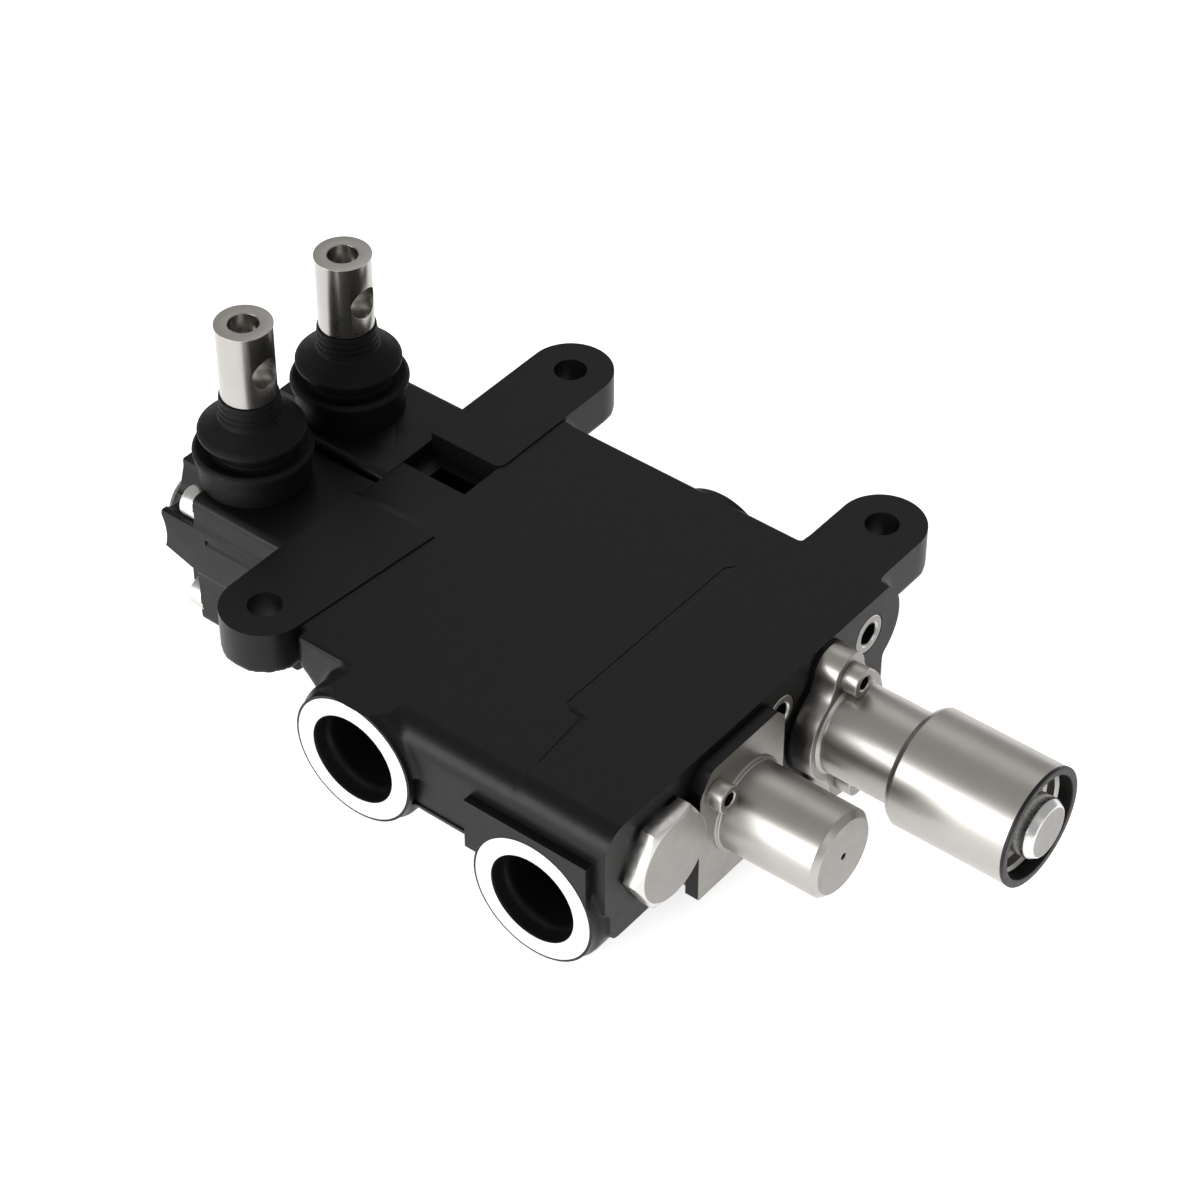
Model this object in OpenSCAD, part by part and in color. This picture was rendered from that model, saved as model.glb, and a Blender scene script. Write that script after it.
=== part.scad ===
// Two-spool manual hydraulic valve, millimetres.
// Origin: centre of the first mounting-ear hole, on the mounting plane (z = 0).
// +X runs along the spools towards the end caps, +Y across the spools, +Z up out of the mounting plane.

/* [Mounting ears] */
// Diameter of the three ear holes
ear_hole_d = 10.3; // [8:0.1:12]
// Outer radius of an ear
ear_r = 13.45; // [11.5:0.05:15]
// Thickness of an ear
ear_t = 14.5; // [10:0.5:18]
// Distance between ear holes along the spools
ear_pitch_x = 116.6; // [114:0.2:118]
// Distance between ear holes across the spools
ear_pitch_y = 138; // [134:0.5:144]
// Height of the raised pads over the main face
pad_h = 0.5; // [0.3:0.1:1.5]

/* [Body casting] */
// X of the end face that carries the caps
end_x = 134.2; // [133.5:0.1:137]
// Depth of the spool block under the mounting plane
block_h = 57; // [55:0.5:62]
// Depth of the gallery block on the port side
gallery_h = 41; // [39:0.5:45]
// Depth of the shallow part of that block between the ports
gallery_low = 29; // [26:0.5:32]
// Y of the gallery wall behind the port faces
gallery_y = -13.6; // [-14.5:0.1:-12.5]
// Y of the lower wall under the outlet
low_wall_y = -11; // [-13:0.5:-9]
// Y of the machined port faces
port_face_y = -16.6; // [-20:0.2:-15]
// Y of the side wall next to the first ear
wall_y = -3.9; // [-6:0.1:-3]
// Radius of the rounded upper edge on the port side
edge_r = 8; // [5:0.5:10]
// Radius of the long rounded gallery on the far side
far_r = 15; // [14:0.5:16]
// Reach of the far side boss beyond the axis of that gallery
far_boss_l = 12.6; // [12:0.1:19]
// Depth of the pocket between the two pads
pocket_h = 7.5; // [5:0.5:9]
// Depth of the shelf beside the pocket
shelf_h = 3; // [1.5:0.5:4]
// Depth of the slot in the floor of the pocket
slot_h = 13; // [10:0.5:14]

/* [Raised pads] */
// Inner end of the first pad
pad1_end_y = 52.6; // [50:0.1:56]
// Start of the wider part of the first pad
pad1_wide_y = 22; // [20:0.5:26]
// X of the edge of that wider part
pad1_wide_x = 18.8; // [16:0.1:21]
// Inner end of the second pad
pad2_start_y = 88.3; // [87:0.1:90]
// X of the edge of the third pad
pad3_x = 96; // [95:0.1:100]
// X of the edge of the bar under the third ear
pad3_bar_x = 102.9; // [101.5:0.1:104]
// X of the corner of the third pad on the port side
pad3_port_x = 101.7; // [99:0.1:103]

/* [Spools] */
// Y of the front spool
spool_y = 43.6; // [43:0.1:44.4]
// Distance between the two spools
spool_pitch = 42.8; // [42.6:0.1:44]
// Depth of the spool axes under the mounting plane
spool_drop = 27.1; // [26:0.1:28]
// Diameter of a spool
spool_d = 16; // [14:0.5:17]
// Radial running clearance of a spool in its bore
spool_gap = 0.03; // [0.02:0.01:0.08]
// Diameter of the cored chambers round a spool
chamber_d = 25; // [22:0.5:27]
// Width of a cored chamber
chamber_w = 9; // [7:0.5:11]
// Distance between neighbouring chambers
chamber_pitch = 25; // [22:0.5:26]
// X of the middle chamber
chamber_mid_x = 60.5; // [58:0.5:63]

/* [Ports] */
// Thread bore of the large side ports
side_bore_d = 24.9; // [23:0.1:26]
// Mouth of the large side ports
side_mouth_d = 29.2; // [28:0.1:30]
// Machined face round a large side port
side_face_d = 40.8; // [38:0.2:42]
// X of the inlet port
inlet_x = 46.6; // [45:0.1:50]
// Depth of the inlet port under the mounting plane
inlet_drop = 20.4; // [20.4:0.1:22]
// X of the outlet port
outlet_x = 111.1; // [110:0.1:112]
// X of the start of the outlet pad
outlet_pad_x = 88.3; // [86:0.1:90]
// X of the end of the outlet pad
outlet_pad_end_x = 131.2; // [130:0.1:132.5]
// Depth of the top of the outlet pad under the mounting plane
outlet_pad_drop = 11.3; // [10:0.1:13]
// Depth of the outlet port under the mounting plane
outlet_drop = 34.5; // [34:0.1:36]
// Thread depth of the side ports
side_thread = 17; // [14:0.5:17]
// Thread bore of the four work ports
work_bore_d = 20.4; // [18:0.1:21]
// Mouth of the work ports
work_mouth_d = 23.8; // [22:0.1:25]
// Spot face of the work ports
work_face_d = 34; // [30:0.5:36]
// Thread depth of the work ports
work_thread = 16.5; // [14:0.5:17]

/* [Levers] */
// X of the lever pivots
lever_x = -44; // [-46:0.1:-43]
// Height of the lever pivots over the mounting plane
pivot_z = 1; // [0:0.1:2]
// Height of the stem tops over the mounting plane
stem_top = 53.3; // [48:0.1:60]
// Diameter of a stem
stem_d = 17; // [15:0.1:18]
// Length of the thick part of a stem
stem_l = 25.3; // [22:0.1:26]
// Socket along the axis of a stem
stem_hole_d = 8.2; // [6:0.1:10]
// Depth of that socket
stem_hole_l = 9; // [7:0.5:9]
// Cross hole through a stem
cross_d = 10; // [6:0.1:11]
// Distance of the cross hole under the stem top
cross_drop = 14.2; // [14.2:0.1:16]
// Diameter of the neck of a lever inside its boot
neck_d = 12; // [10:0.5:13]
// Diameter of the ball that moves the spool
ball_d = 8; // [7:0.1:8.4]
// Play of the ball in the slot of the spool
ball_gap = 0.3; // [0.25:0.01:0.5]
// Diameter of a pivot pin
pin_d = 6; // [5:0.1:7]
// Radial running clearance of a lever on its pin
pin_gap = 0.04; // [0.02:0.01:0.08]

/* [Lever housings] */
// Depth of the housing tops under the mounting plane
house_drop = 2.8; // [2:0.1:4]
// Half width of a housing
house_w = 21.2; // [20.4:0.1:21.25]
// X of the face under the screw heads
house_seat_x = -50.8; // [-52:0.1:-50]
// X of the outer end of a housing
house_end_x = -63.6; // [-66:0.1:-62]
// Sideways distance of the housing screws from the spool axis
house_screw_y = 15.2; // [14.6:0.1:15.2]
// Upright distance of the housing screws from the spool axis
house_screw_z = 17.8; // [17:0.1:18.2]
// Diameter of the housing screws
house_screw_d = 8; // [6:0.5:8]
// Length of the housing screws under the head
house_screw_l = 54; // [50:1:55]
// Radius of their heads
house_head_r = 5.95; // [5.5:0.05:6.5]
// Height of their heads
house_head_h = 7.9; // [7:0.1:8.5]
// Width across flats of their sockets
house_key = 6.35; // [5:0.05:6.5]
// Inner radius of the round collar under the boot
collar_r = 11.5; // [11.4:0.1:12]
// Outer radius of that collar
collar_out_r = 14.6; // [14:0.1:15]
// Top of that collar over the mounting plane
collar_top = 6; // [5:0.1:6.5]

/* [Boots] */
// Radius of the base of a boot
boot_base_r = 16.9; // [16.6:0.1:18]
// Radius of the lower bellows fold
boot_low_r = 18.2; // [17.5:0.1:19.5]
// Radius of the upper bellows fold
boot_up_r = 16.2; // [15.5:0.1:18]
// Wall of a boot
boot_wall = 1.6; // [1.2:0.1:2]

/* [End caps] */
// Radius of the front cap
cap_r = 13.85; // [13:0.05:15]
// X of the end of the front cap
cap_end_x = 172; // [170:0.5:180]
// Thickness of the front cap flange
cap_plate_t = 4.5; // [3:0.1:6]
// Half width of the front cap flange
cap_plate_w = 18.3; // [18:0.1:19]
// Half height of the front cap flange
cap_plate_h = 24.6; // [22:0.1:25]
// Sideways and upright distance of the front cap screws from the axis
cap_screw_y = 14.7; // [14:0.1:15]
// Upright distance of the front cap screws from the axis
cap_screw_z = 15.6; // [15:0.1:19]
// Radius of the rear cap tube
tube_r = 14.45; // [14:0.05:15]
// Thickness of the rear cap flange
tube_plate_t = 7.5; // [6:0.1:9]
// Distance of the rear cap screws from the axis
tube_screw_z = 19.3; // [19:0.1:20]
// Thickness of the rear cap gasket
gasket_t = 0.8; // [0.5:0.1:1.5]
// Diameter of the cap screws
cap_screw_d = 5; // [4:0.5:6]
// Length of the cap screws under the head
cap_screw_l = 16; // [14:0.5:17]
// Radius of their heads
cap_head_r = 4.2; // [3.8:0.05:4.5]
// Height of their heads
cap_head_h = 5; // [4:0.1:6]
// Width across flats of their sockets
cap_key = 4; // [3:0.1:4.5]
// Radius of the detent sleeve
sleeve_r = 18.5; // [18:0.1:19.5]
// X of the start of the detent sleeve
sleeve_x = 167; // [165:0.5:168]
// X of the end of the detent sleeve
sleeve_end_x = 205.5; // [204:0.5:210]
// Outer radius of the black end ring
ring_r = 18.9; // [18.6:0.1:20]
// Thickness of the black end ring
ring_t = 2.6; // [1.5:0.1:4]
// Radius of the recess in the sleeve end
recess_r = 16.2; // [15:0.1:16.5]
// Radius of the rod button
button_r = 9.4; // [8:0.1:11]
// Front of the rod button beyond the ring
button_out = 2.8; // [1:0.1:5]

/* [Plugs] */
// Width across flats of the power beyond plug
beyond_af = 28; // [27:0.1:28.2]
// Y of the power beyond plug
beyond_y = 9; // [8.5:0.1:9.1]
// Thread diameter of the power beyond plug
beyond_d = 26.8; // [24:0.1:27]
// Height of the hexagon of the power beyond plug
beyond_h = 5.3; // [4:0.1:8]
// Length of its thread in the body
beyond_l = 8.6; // [7:0.1:8.8]
// Radius of the passage behind it
beyond_bore_r = 7; // [5:0.5:7]
// Radius of the two flush plugs in the end face
flush_r = 6.3; // [5.5:0.1:6.6]
// Depth of the two flush plugs under the mounting plane
flush_drop = 12.1; // [11.8:0.1:13]
// Width across flats of their sockets
flush_af = 6.35; // [5:0.05:7]
// Diameter of the far side plug
far_plug_d = 26.4; // [24:0.1:27]
// Width across flats of its socket
far_plug_af = 14; // [10:0.5:17]

/* [Centring springs] */
// Wire diameter of a centring spring
coil_wire = 1.8; // [1.2:0.1:2]
// Mean radius of a centring spring
coil_r = 9.4; // [9.2:0.1:9.6]
// Number of working turns
coil_turns = 5; // [3:1:7]

/* [Hidden] */

$fn = 64;
fit = 0.05;
seal_neck = 1.4;
eps = 0.01;
spool_z = -spool_drop;
rear_y = spool_y + spool_pitch;
left_x = -ear_r;
top_z = -pad_h;
chambers = [for (i = [-2:2]) chamber_mid_x + i * chamber_pitch];
work_x = [chambers[1], chambers[3]];
flush_y1 = spool_y + spool_pitch / 2;
flush_y2 = rear_y + spool_pitch / 2;
far_port_x = inlet_x + chamber_pitch;
far_port_z = -inlet_drop + 0.9;
far_plug_y = flush_y2 + far_boss_l - 1;
stem_r = stem_d / 2;
arm_l = pivot_z + spool_drop;
slot_w = ball_d / 2 + ball_gap;
spool_end_x = end_x + 2;
house_hole_x = house_seat_x + house_screw_l + 1.35;
cap_hole_x = end_x + cap_plate_t - cap_screw_l - 2.5;
seat_x = end_x + 0.2;
out_x = end_x + 19;
cage_x = end_x + 41.8;

// cylinder along +X
module xcyl(x0, x1, r, r2 = 0) {
    translate([x0, 0, 0]) rotate([0, 90, 0])
        cylinder(h = x1 - x0, r1 = r, r2 = r2 > 0 ? r2 : r);
}
// cylinder along +Y
module ycyl(y0, y1, r, r2 = 0) {
    translate([0, y0, 0]) rotate([-90, 0, 0])
        cylinder(h = y1 - y0, r1 = r, r2 = r2 > 0 ? r2 : r);
}
// profile in (Y, Z) pushed along +X
module xpush(x0, x1) {
    translate([x0, 0, 0]) rotate([90, 0, 90]) linear_extrude(x1 - x0) children();
}
// rounded rectangle centred on the origin
module rrect(w, h, r) {
    square([w, h - 2 * r], center = true);
    square([w - 2 * r, h], center = true);
    for (x = [-1, 1], y = [-1, 1]) translate([x * (w / 2 - r), y * (h / 2 - r)]) circle(r);
}
// turned part along +X from (x, r) points
module xturn(pts) {
    rotate([0, 90, 0]) rotate_extrude() polygon([for (p = pts) [p[1], p[0]]]);
}
module hexagon(af) { rotate([0, 0, 30]) circle(r = af / 2 / cos(30), $fn = 6); }
// socket cap screw, head seat at the origin, shank along -X
module cap_screw(d, l, head_r, head_h, af) {
    difference() {
        union() {
            xcyl(-l, 0.5, d / 2);
            xturn([[0, 0], [0, head_r], [head_h - 0.6, head_r], [head_h, head_r - 0.6], [head_h, 0]]);
        }
        xpush(head_h * 0.45, head_h + 1) hexagon(af);
    }
}
// coil spring along +X
module coil(x0, x1, r, wire, turns, sides = 8, steps = 14) {
    n = turns * steps;
    pts = [for (i = [0:n], k = [0:sides - 1])
        let (a = 360 * i / steps, b = 360 * k / sides, q = r + wire / 2 * cos(b))
        [x0 + wire / 2 + (x1 - x0 - wire) * i / n + wire / 2 * sin(b), q * cos(a), q * sin(a)]];
    walls = [for (i = [0:n - 1], k = [0:sides - 1], h = [0, 1])
        let (a = i * sides, b = a + sides, m = (k + 1) % sides)
        h == 0 ? [a + k, a + m, b + m] : [a + k, b + m, b + k]];
    start = [for (k = [sides - 1:-1:0]) k];
    stop = [for (k = [0:sides - 1]) n * sides + k];
    polyhedron(points = pts, faces = concat(walls, [start, stop]), convexity = 10);
}

// Body casting
module ear(x, y) { translate([x, y, -ear_t]) cylinder(h = ear_t, r = ear_r); }
// footprint pushed up from the underside of the ears to the mounting plane
module pad() { translate([0, 0, -ear_t]) linear_extrude(ear_t) children(); }
module pads() {
    ear(0, 0);
    ear(0, ear_pitch_y);
    ear(ear_pitch_x, ear_pitch_y);
    pad() polygon([[left_x, 0], [ear_r, 0], [ear_r, pad1_wide_y], [pad1_wide_x, pad1_wide_y],
        [pad1_wide_x, pad1_end_y], [left_x, pad1_end_y]]);
    pad() translate([left_x, pad2_start_y]) {
        square([2 * ear_r - 3, ear_pitch_y - pad2_start_y]);
        translate([0, 3]) square([2 * ear_r, ear_pitch_y - pad2_start_y - 3]);
        translate([2 * ear_r - 3, 3]) circle(3);
    }
    pad() polygon([[pad3_port_x, -0.8], [pad3_x + 2.6, 19], [pad3_x + 2.6, 20.5], [pad3_x, pad1_wide_y],
        [pad3_x, 96], [pad3_bar_x, flush_y2], [pad3_bar_x, ear_pitch_y], [ear_pitch_x + ear_r, ear_pitch_y],
        [ear_pitch_x + ear_r, flush_y2], [end_x, flush_y2], [end_x, -0.8]]);
    gallery(pad3_port_x, 0);
}
// gallery block on the port side with its long rounded upper edge
module gallery(x0, z) {
    xpush(x0, end_x) difference() {
        translate([gallery_y, -gallery_low]) square([spool_y - gallery_y, gallery_low + z]);
        translate([gallery_y - eps, z - edge_r]) difference() {
            square(edge_r + 1);
            translate([edge_r + eps, 0]) circle(edge_r);
        }
    }
}
// everything that is cast under the main face
module blocks() {
    // spool block with its rounded lower edges
    difference() {
        translate([left_x, spool_y - 22, -block_h])
            cube([end_x - left_x, flush_y2 - spool_y + 22, block_h]);
        for (s = [0, 1]) translate([s ? end_x - 6 : left_x, 0, 0]) corner_cut(s);
    }
    gallery(inlet_x + 10, top_z);
    translate([ear_r + 2, wall_y, -gallery_h])
        cube([inlet_x - ear_r - 2, spool_y - wall_y, gallery_h]);
    translate([ear_r - 1, 0, -ear_t]) cube([4, spool_y, ear_t]);
    // pad at the outlet and the deeper part behind it
    translate([outlet_x - 7, low_wall_y, -gallery_h])
        cube([end_x - outlet_x + 7, spool_y - low_wall_y, gallery_h - gallery_low / 2]);
    translate([outlet_pad_x, port_face_y, -gallery_low])
        cube([outlet_pad_end_x - outlet_pad_x, -port_face_y, gallery_low - outlet_pad_drop]);
    // far gallery
    translate([0, flush_y2, -flush_drop]) xcyl(left_x, end_x, far_r);
    translate([left_x, flush_y2 - 10, -block_h + 8]) cube([end_x - left_x, 18, block_h - 16]);
    // port bosses, the inlet's with its shoulder
    translate([inlet_x, 0, -inlet_drop]) {
        ycyl(port_face_y, spool_y, side_face_d / 2);
        ycyl(gallery_y, spool_y, side_face_d / 2 + 1.8);
    }
    translate([outlet_x, 0, -outlet_drop]) ycyl(port_face_y, spool_y, side_face_d / 2);
    translate([far_port_x, 0, far_port_z]) ycyl(flush_y2, flush_y2 + far_boss_l, side_face_d / 2 - 2);
}
module body_solid() {
    difference() {
        blocks();
        translate([left_x - 1, -60, top_z]) cube([end_x - left_x + 2, flush_y2 + 120, 40]);
    }
    pads();
}
module corner_cut(s) {
    difference() {
        translate([s ? 0 : -1, spool_y - 23, -block_h - 1])
            cube([7, flush_y2 - spool_y + 60, 7]);
        translate([s ? 0 : 6, spool_y - 24, -block_h + 6]) ycyl(0, flush_y2 + 70, 6);
    }
}
module side_port(len) {
    ycyl(-eps, len, side_bore_d / 2);
    ycyl(-eps, 9, side_mouth_d / 2);
    ycyl(9 - eps, 9 + 2.1, side_mouth_d / 2, side_bore_d / 2);
}
module work_port() {
    translate([0, 0, -eps]) {
        cylinder(h = 0.8, r = work_face_d / 2);
        cylinder(h = 0.8 + work_thread, r = work_bore_d / 2);
        translate([0, 0, 0.79]) cylinder(h = 2.4, r1 = work_mouth_d / 2, r2 = work_mouth_d / 2 - 1);
        cylinder(h = block_h - spool_drop, r = chamber_w / 2 + 1.5);
    }
}
module body() {
    color("#232323") difference() {
        body_solid();
        for (p = [[0, 0], [0, ear_pitch_y], [ear_pitch_x, ear_pitch_y]])
            translate([p[0], p[1], -ear_t - 1]) cylinder(h = ear_t + 2, r = ear_hole_d / 2);
        // sloping shelf, pocket and slot between the pads
        xpush(left_x - 1, ear_r - 0.8) polygon([[pad1_end_y, 1], [pad1_end_y, 0], [pad1_end_y + 5, -shelf_h],
            [pad2_start_y - 12, -shelf_h], [pad2_start_y - 12, 1]]);
        translate([left_x - 1, pad2_start_y - 13.3, -pocket_h]) cube([2 * ear_r + 0.2, 13.3, 10]);
        translate([left_x / 2, pad2_start_y - 10.3, -slot_h]) cube([15.7, 6.5, slot_h]);
        // spool bores with their cored chambers
        for (y = [spool_y, rear_y]) translate([0, y, spool_z]) {
            xcyl(left_x - 1, end_x + 1, spool_d / 2 + spool_gap);
            for (x = chambers) xcyl(x - chamber_w / 2, x + chamber_w / 2, chamber_d / 2);
            for (x = [left_x - eps, end_x - 3]) xcyl(x, x + 3 + 2 * eps, spool_d / 2 + 2.2);
            for (x = work_x) translate([x, 0, -block_h + spool_drop]) work_port();
            for (a = [-1, 1], b = [-1, 1])
                translate([0, a * house_screw_y, b * house_screw_z])
                    xcyl(left_x - 1, house_hole_x, house_screw_d / 2 + fit);
        }
        // pressure, beyond and tank passages
        translate([inlet_x, port_face_y, -inlet_drop]) side_port(side_thread);
        translate([inlet_x, 0, -inlet_drop]) ycyl(0, beyond_y, 10);
        translate([0, beyond_y, -inlet_drop]) {
            xcyl(inlet_x - 10, end_x - beyond_l, beyond_bore_r);
            xcyl(end_x - beyond_l - 0.2, end_x + 1, beyond_d / 2 + fit);
            xcyl(end_x - 0.6, end_x + eps, beyond_d / 2, beyond_d / 2 + 0.6);
        }
        translate([chamber_mid_x, 0, -inlet_drop - 2]) ycyl(beyond_y, rear_y, 4);
        translate([outlet_x, port_face_y, -outlet_drop]) side_port(side_thread);
        for (x = [chambers[0], chambers[4]]) translate([x, 0, spool_z - 6])
            ycyl(x > chamber_mid_x ? 0 : spool_y, rear_y, 4);
        translate([0, flush_y1, spool_z - 6]) xcyl(chambers[0], chambers[4], 4);
        // far side port
        translate([far_port_x, far_plug_y - 13, far_port_z]) ycyl(-4, 20, far_plug_d / 2 + fit);
        // flush plug holes with the check and relief cavities
        for (y = [flush_y1, flush_y2]) translate([0, y, -flush_drop]) {
            xcyl(end_x - 14, end_x + 1, flush_r + fit);
            xcyl(end_x - 44, end_x - 13, 5.2);
            xcyl(end_x - 52, end_x - 43, 3);
        }
        // cap screw holes
        translate([0, spool_y, spool_z]) for (s = [-1, 1])
            translate([0, s * cap_screw_y, -s * cap_screw_z])
                xcyl(cap_hole_x, end_x + 1, cap_screw_d / 2 + fit);
        translate([0, rear_y, spool_z]) for (s = [-1, 1]) translate([0, 0, s * tube_screw_z])
            xcyl(cap_hole_x, end_x + 1, cap_screw_d / 2 + fit);
    }
}

// Spools
module spool_shape() {
    land = chamber_pitch - chamber_w;
    difference() {
        xcyl(lever_x - 14, spool_end_x, spool_d / 2);
        // grooves between the lands
        for (i = [0:4]) difference() {
            xcyl(chambers[i] - (i % 2 ? 9 : 3.5), chambers[i] + (i % 2 ? 9 : 3.5), spool_d / 2 + 1);
            xcyl(chambers[i] - 10, chambers[i] + 10, spool_d / 2 - 3);
        }
        // slot for the lever ball, widened at its mouth
        translate([lever_x, 4.4, 0]) rotate([90, 0, 0]) linear_extrude(8.8)
            polygon([[-slot_w, -slot_w - 0.7], [slot_w, -slot_w - 0.7], [slot_w, 2.6],
                [slot_w + 3, spool_d / 2 + 1], [-slot_w - 3, spool_d / 2 + 1], [-slot_w, 2.6]]);
        // thread for the bolt or the detent rod
        xcyl(spool_end_x - 14, spool_end_x + 1, 3 + fit);
    }
}
module spool_front() { color("#b9b9bb") translate([0, spool_y, spool_z]) spool_shape(); }
module spool_rear() { color("#b9b9bb") translate([0, rear_y, spool_z]) spool_shape(); }
module spool_seals() {
    color("#151515") for (y = [spool_y, rear_y], x = [left_x + 1.4, end_x - 1.6])
        translate([x, y, spool_z]) rotate([0, 90, 0]) rotate_extrude()
            translate([spool_d / 2 + 1.25, 0]) circle(0.9);
}

// Levers
module lever_shape() {
    z0 = pivot_z;
    top = stem_top - z0;
    difference() {
        union() {
            rotate_extrude() polygon([[0, 0], [neck_d / 2, 0], [neck_d / 2, top - stem_l - 3.5],
                [stem_r - 0.3, top - stem_l - 0.3], [stem_r - 0.3, top - stem_l], [stem_r, top - stem_l + 0.3],
                [stem_r, top - 0.4], [stem_r - 0.4, top], [0, top]]);
            ycyl(-8, 8, 7.5);
            rotate_extrude() polygon([[0, 0], [5, 0], [5, -10], [3.2, -14], [3.2, -arm_l], [0, -arm_l]]);
            translate([0, 0, -arm_l]) sphere(ball_d / 2);
        }
        ycyl(-9, 9, pin_d / 2 + pin_gap);
        translate([0, 0, top - stem_hole_l]) cylinder(h = stem_hole_l + 1, r = stem_hole_d / 2);
        translate([0, 0, top - 0.8])
            cylinder(h = 0.81, r1 = stem_hole_d / 2, r2 = stem_hole_d / 2 + 0.8);
        translate([0, 0, top - cross_drop]) xcyl(-stem_r - 1, stem_r + 1, cross_d / 2);
    }
}
module lever_front() { color("#c9c8c5") translate([lever_x, spool_y, pivot_z]) lever_shape(); }
module lever_rear() { color("#c9c8c5") translate([lever_x, rear_y, pivot_z]) lever_shape(); }
module pivot_pins() {
    color("#c9c8c5") for (y = [spool_y, rear_y])
        translate([lever_x, y, pivot_z]) ycyl(-collar_out_r + 0.6, collar_out_r - 0.6, pin_d / 2);
}

// Lever housings
module house_shape() {
    corner_r = house_w - house_screw_y;
    half_h = spool_drop - house_drop;
    difference() {
        union() {
            xpush(house_end_x, left_x) rrect(2 * house_w, 2 * half_h, corner_r);
            translate([lever_x, 0, half_h - 1]) cylinder(h = collar_top + house_drop + 1, r = collar_out_r);
        }
        // notches round the screw heads
        for (a = [-1, 1], b = [-1, 1]) translate([0, a * house_screw_y, b * house_screw_z]) {
            xcyl(house_end_x - 1, house_seat_x, 7.4);
            xcyl(house_end_x - 1, left_x + 1, house_screw_d / 2 + fit);
        }
        for (a = [-1, 1]) {
            translate([house_end_x - 1, a > 0 ? 9 : -house_w - 1, -half_h - 1])
                cube([house_seat_x - house_end_x + 1, house_w - 8, half_h - 2]);
            translate([house_end_x - 1, a > 0 ? house_screw_y : -house_w - 1, house_screw_z])
                cube([house_seat_x - house_end_x + 1, house_w - house_screw_y + 1, 12]);
        }
        // bore round the spool end and the well under the lever
        xcyl(house_end_x - 1, left_x + 1, 10.5);
        translate([lever_x, 0, 0]) cylinder(h = spool_drop + collar_top + 1, r = collar_r);
        translate([lever_x, 0, arm_l]) ycyl(-collar_out_r - 1, collar_out_r + 1, pin_d / 2 + fit);
        // long ribs of the side walls
        for (a = [-1, 1]) translate([house_end_x - 1, a * (house_w + 0.6), -5]) rotate([90, 0, 90])
            linear_extrude(left_x - house_end_x + 2) rrect(3.4, 12, 1.6);
    }
}
module house_front() { color("#262626") translate([0, spool_y, spool_z]) house_shape(); }
module house_rear() { color("#262626") translate([0, rear_y, spool_z]) house_shape(); }
module house_caps() {
    color("#1d1d1d") for (y = [spool_y, rear_y]) translate([0, y, spool_z])
        xturn([[house_end_x + 5, 9], [house_end_x + 5, 10.4], [house_end_x, 10.4], [house_end_x, 13],
            [house_end_x - 7, 13], [house_end_x - 10, 10], [house_end_x - 10, 0], [house_end_x - 8, 0],
            [house_end_x - 8, 9]]);
}
module house_screws() {
    color("#a8a49e") for (y = [spool_y, rear_y], a = [-1, 1], b = [-1, 1])
        translate([house_seat_x, y + a * house_screw_y, spool_z + b * house_screw_z])
            mirror([1, 0, 0])
                cap_screw(house_screw_d, house_screw_l, house_head_r, house_head_h, house_key);
}

// Boots
module boot_shape() {
    w = boot_wall;
    z0 = -house_drop;
    in_r = collar_out_r + 0.2;
    rotate_extrude() polygon([
        [in_r, z0], [boot_base_r, z0], [boot_base_r, 5.4], [boot_low_r - 0.8, 6.6],
        [boot_low_r, 7.8], [boot_low_r, 8.8], [boot_low_r - 1, 10], [12.6, 11.4],
        [12.2, 12.2], [12.6, 13], [boot_up_r - 0.9, 14], [boot_up_r, 15.2], [boot_up_r - 0.5, 16.6],
        [13.4, 18.6], [10.6, 20], [9.5, 21], [9.5, 22], [9.2, 22.4], [9.2, 23.4], [9.5, 23.8],
        [9.1, 24.6], [9.1, 26], [8.85, 27.2], [neck_d / 2 + 0.4, 27.2 - 3.4], [neck_d / 2 + 0.4, 20.4],
        [8.4, 19], [11.8, 17], [boot_up_r - w, 15.4], [11, 13.6],
        [10.6, 12.2], [11, 10.6], [boot_low_r - w, 8.4], [boot_base_r - w, 7.2], [in_r, 6.6]]);
}
module boot_front() { color("#1a1a1a") translate([lever_x, spool_y, 0]) boot_shape(); }
module boot_rear() { color("#1a1a1a") translate([lever_x, rear_y, 0]) boot_shape(); }

// End caps
module cap_front() {
    x1 = end_x + cap_plate_t;
    color("#8d8a86") translate([0, spool_y, spool_z]) difference() {
        union() {
            xpush(end_x, x1) rrect(2 * cap_plate_w, 2 * cap_plate_h, 3.6);
            xturn([[end_x, 0], [end_x, cap_r + 1.5], [x1, cap_r + 1.5], [x1 + 0.5, cap_r + 0.45],
                [x1 + 1.5, cap_r], [cap_end_x - 1.4, cap_r - 0.2], [cap_end_x - 0.4, cap_r - 0.7],
                [cap_end_x, cap_r - 1.6], [cap_end_x, 0]]);
        }
        xcyl(end_x - 1, cap_end_x - 3, 11.2);
        xcyl(end_x, cap_end_x + 1, 0.9);
        for (s = [-1, 1]) translate([0, s * cap_screw_y, -s * cap_screw_z])
            xcyl(end_x - 1, x1 + 1, cap_screw_d / 2 + fit);
        for (s = [-1, 1]) translate([0, s * cap_screw_y, -s * cap_screw_z]) xcyl(x1, x1 + 6, 4.6);
    }
}
module lobes(r, lobe_r) {
    circle(r);
    for (s = [-1, 1]) {
        translate([0, s * tube_screw_z]) circle(lobe_r);
        translate([-lobe_r, s > 0 ? 0 : -tube_screw_z]) square([2 * lobe_r, tube_screw_z]);
    }
}
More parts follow.
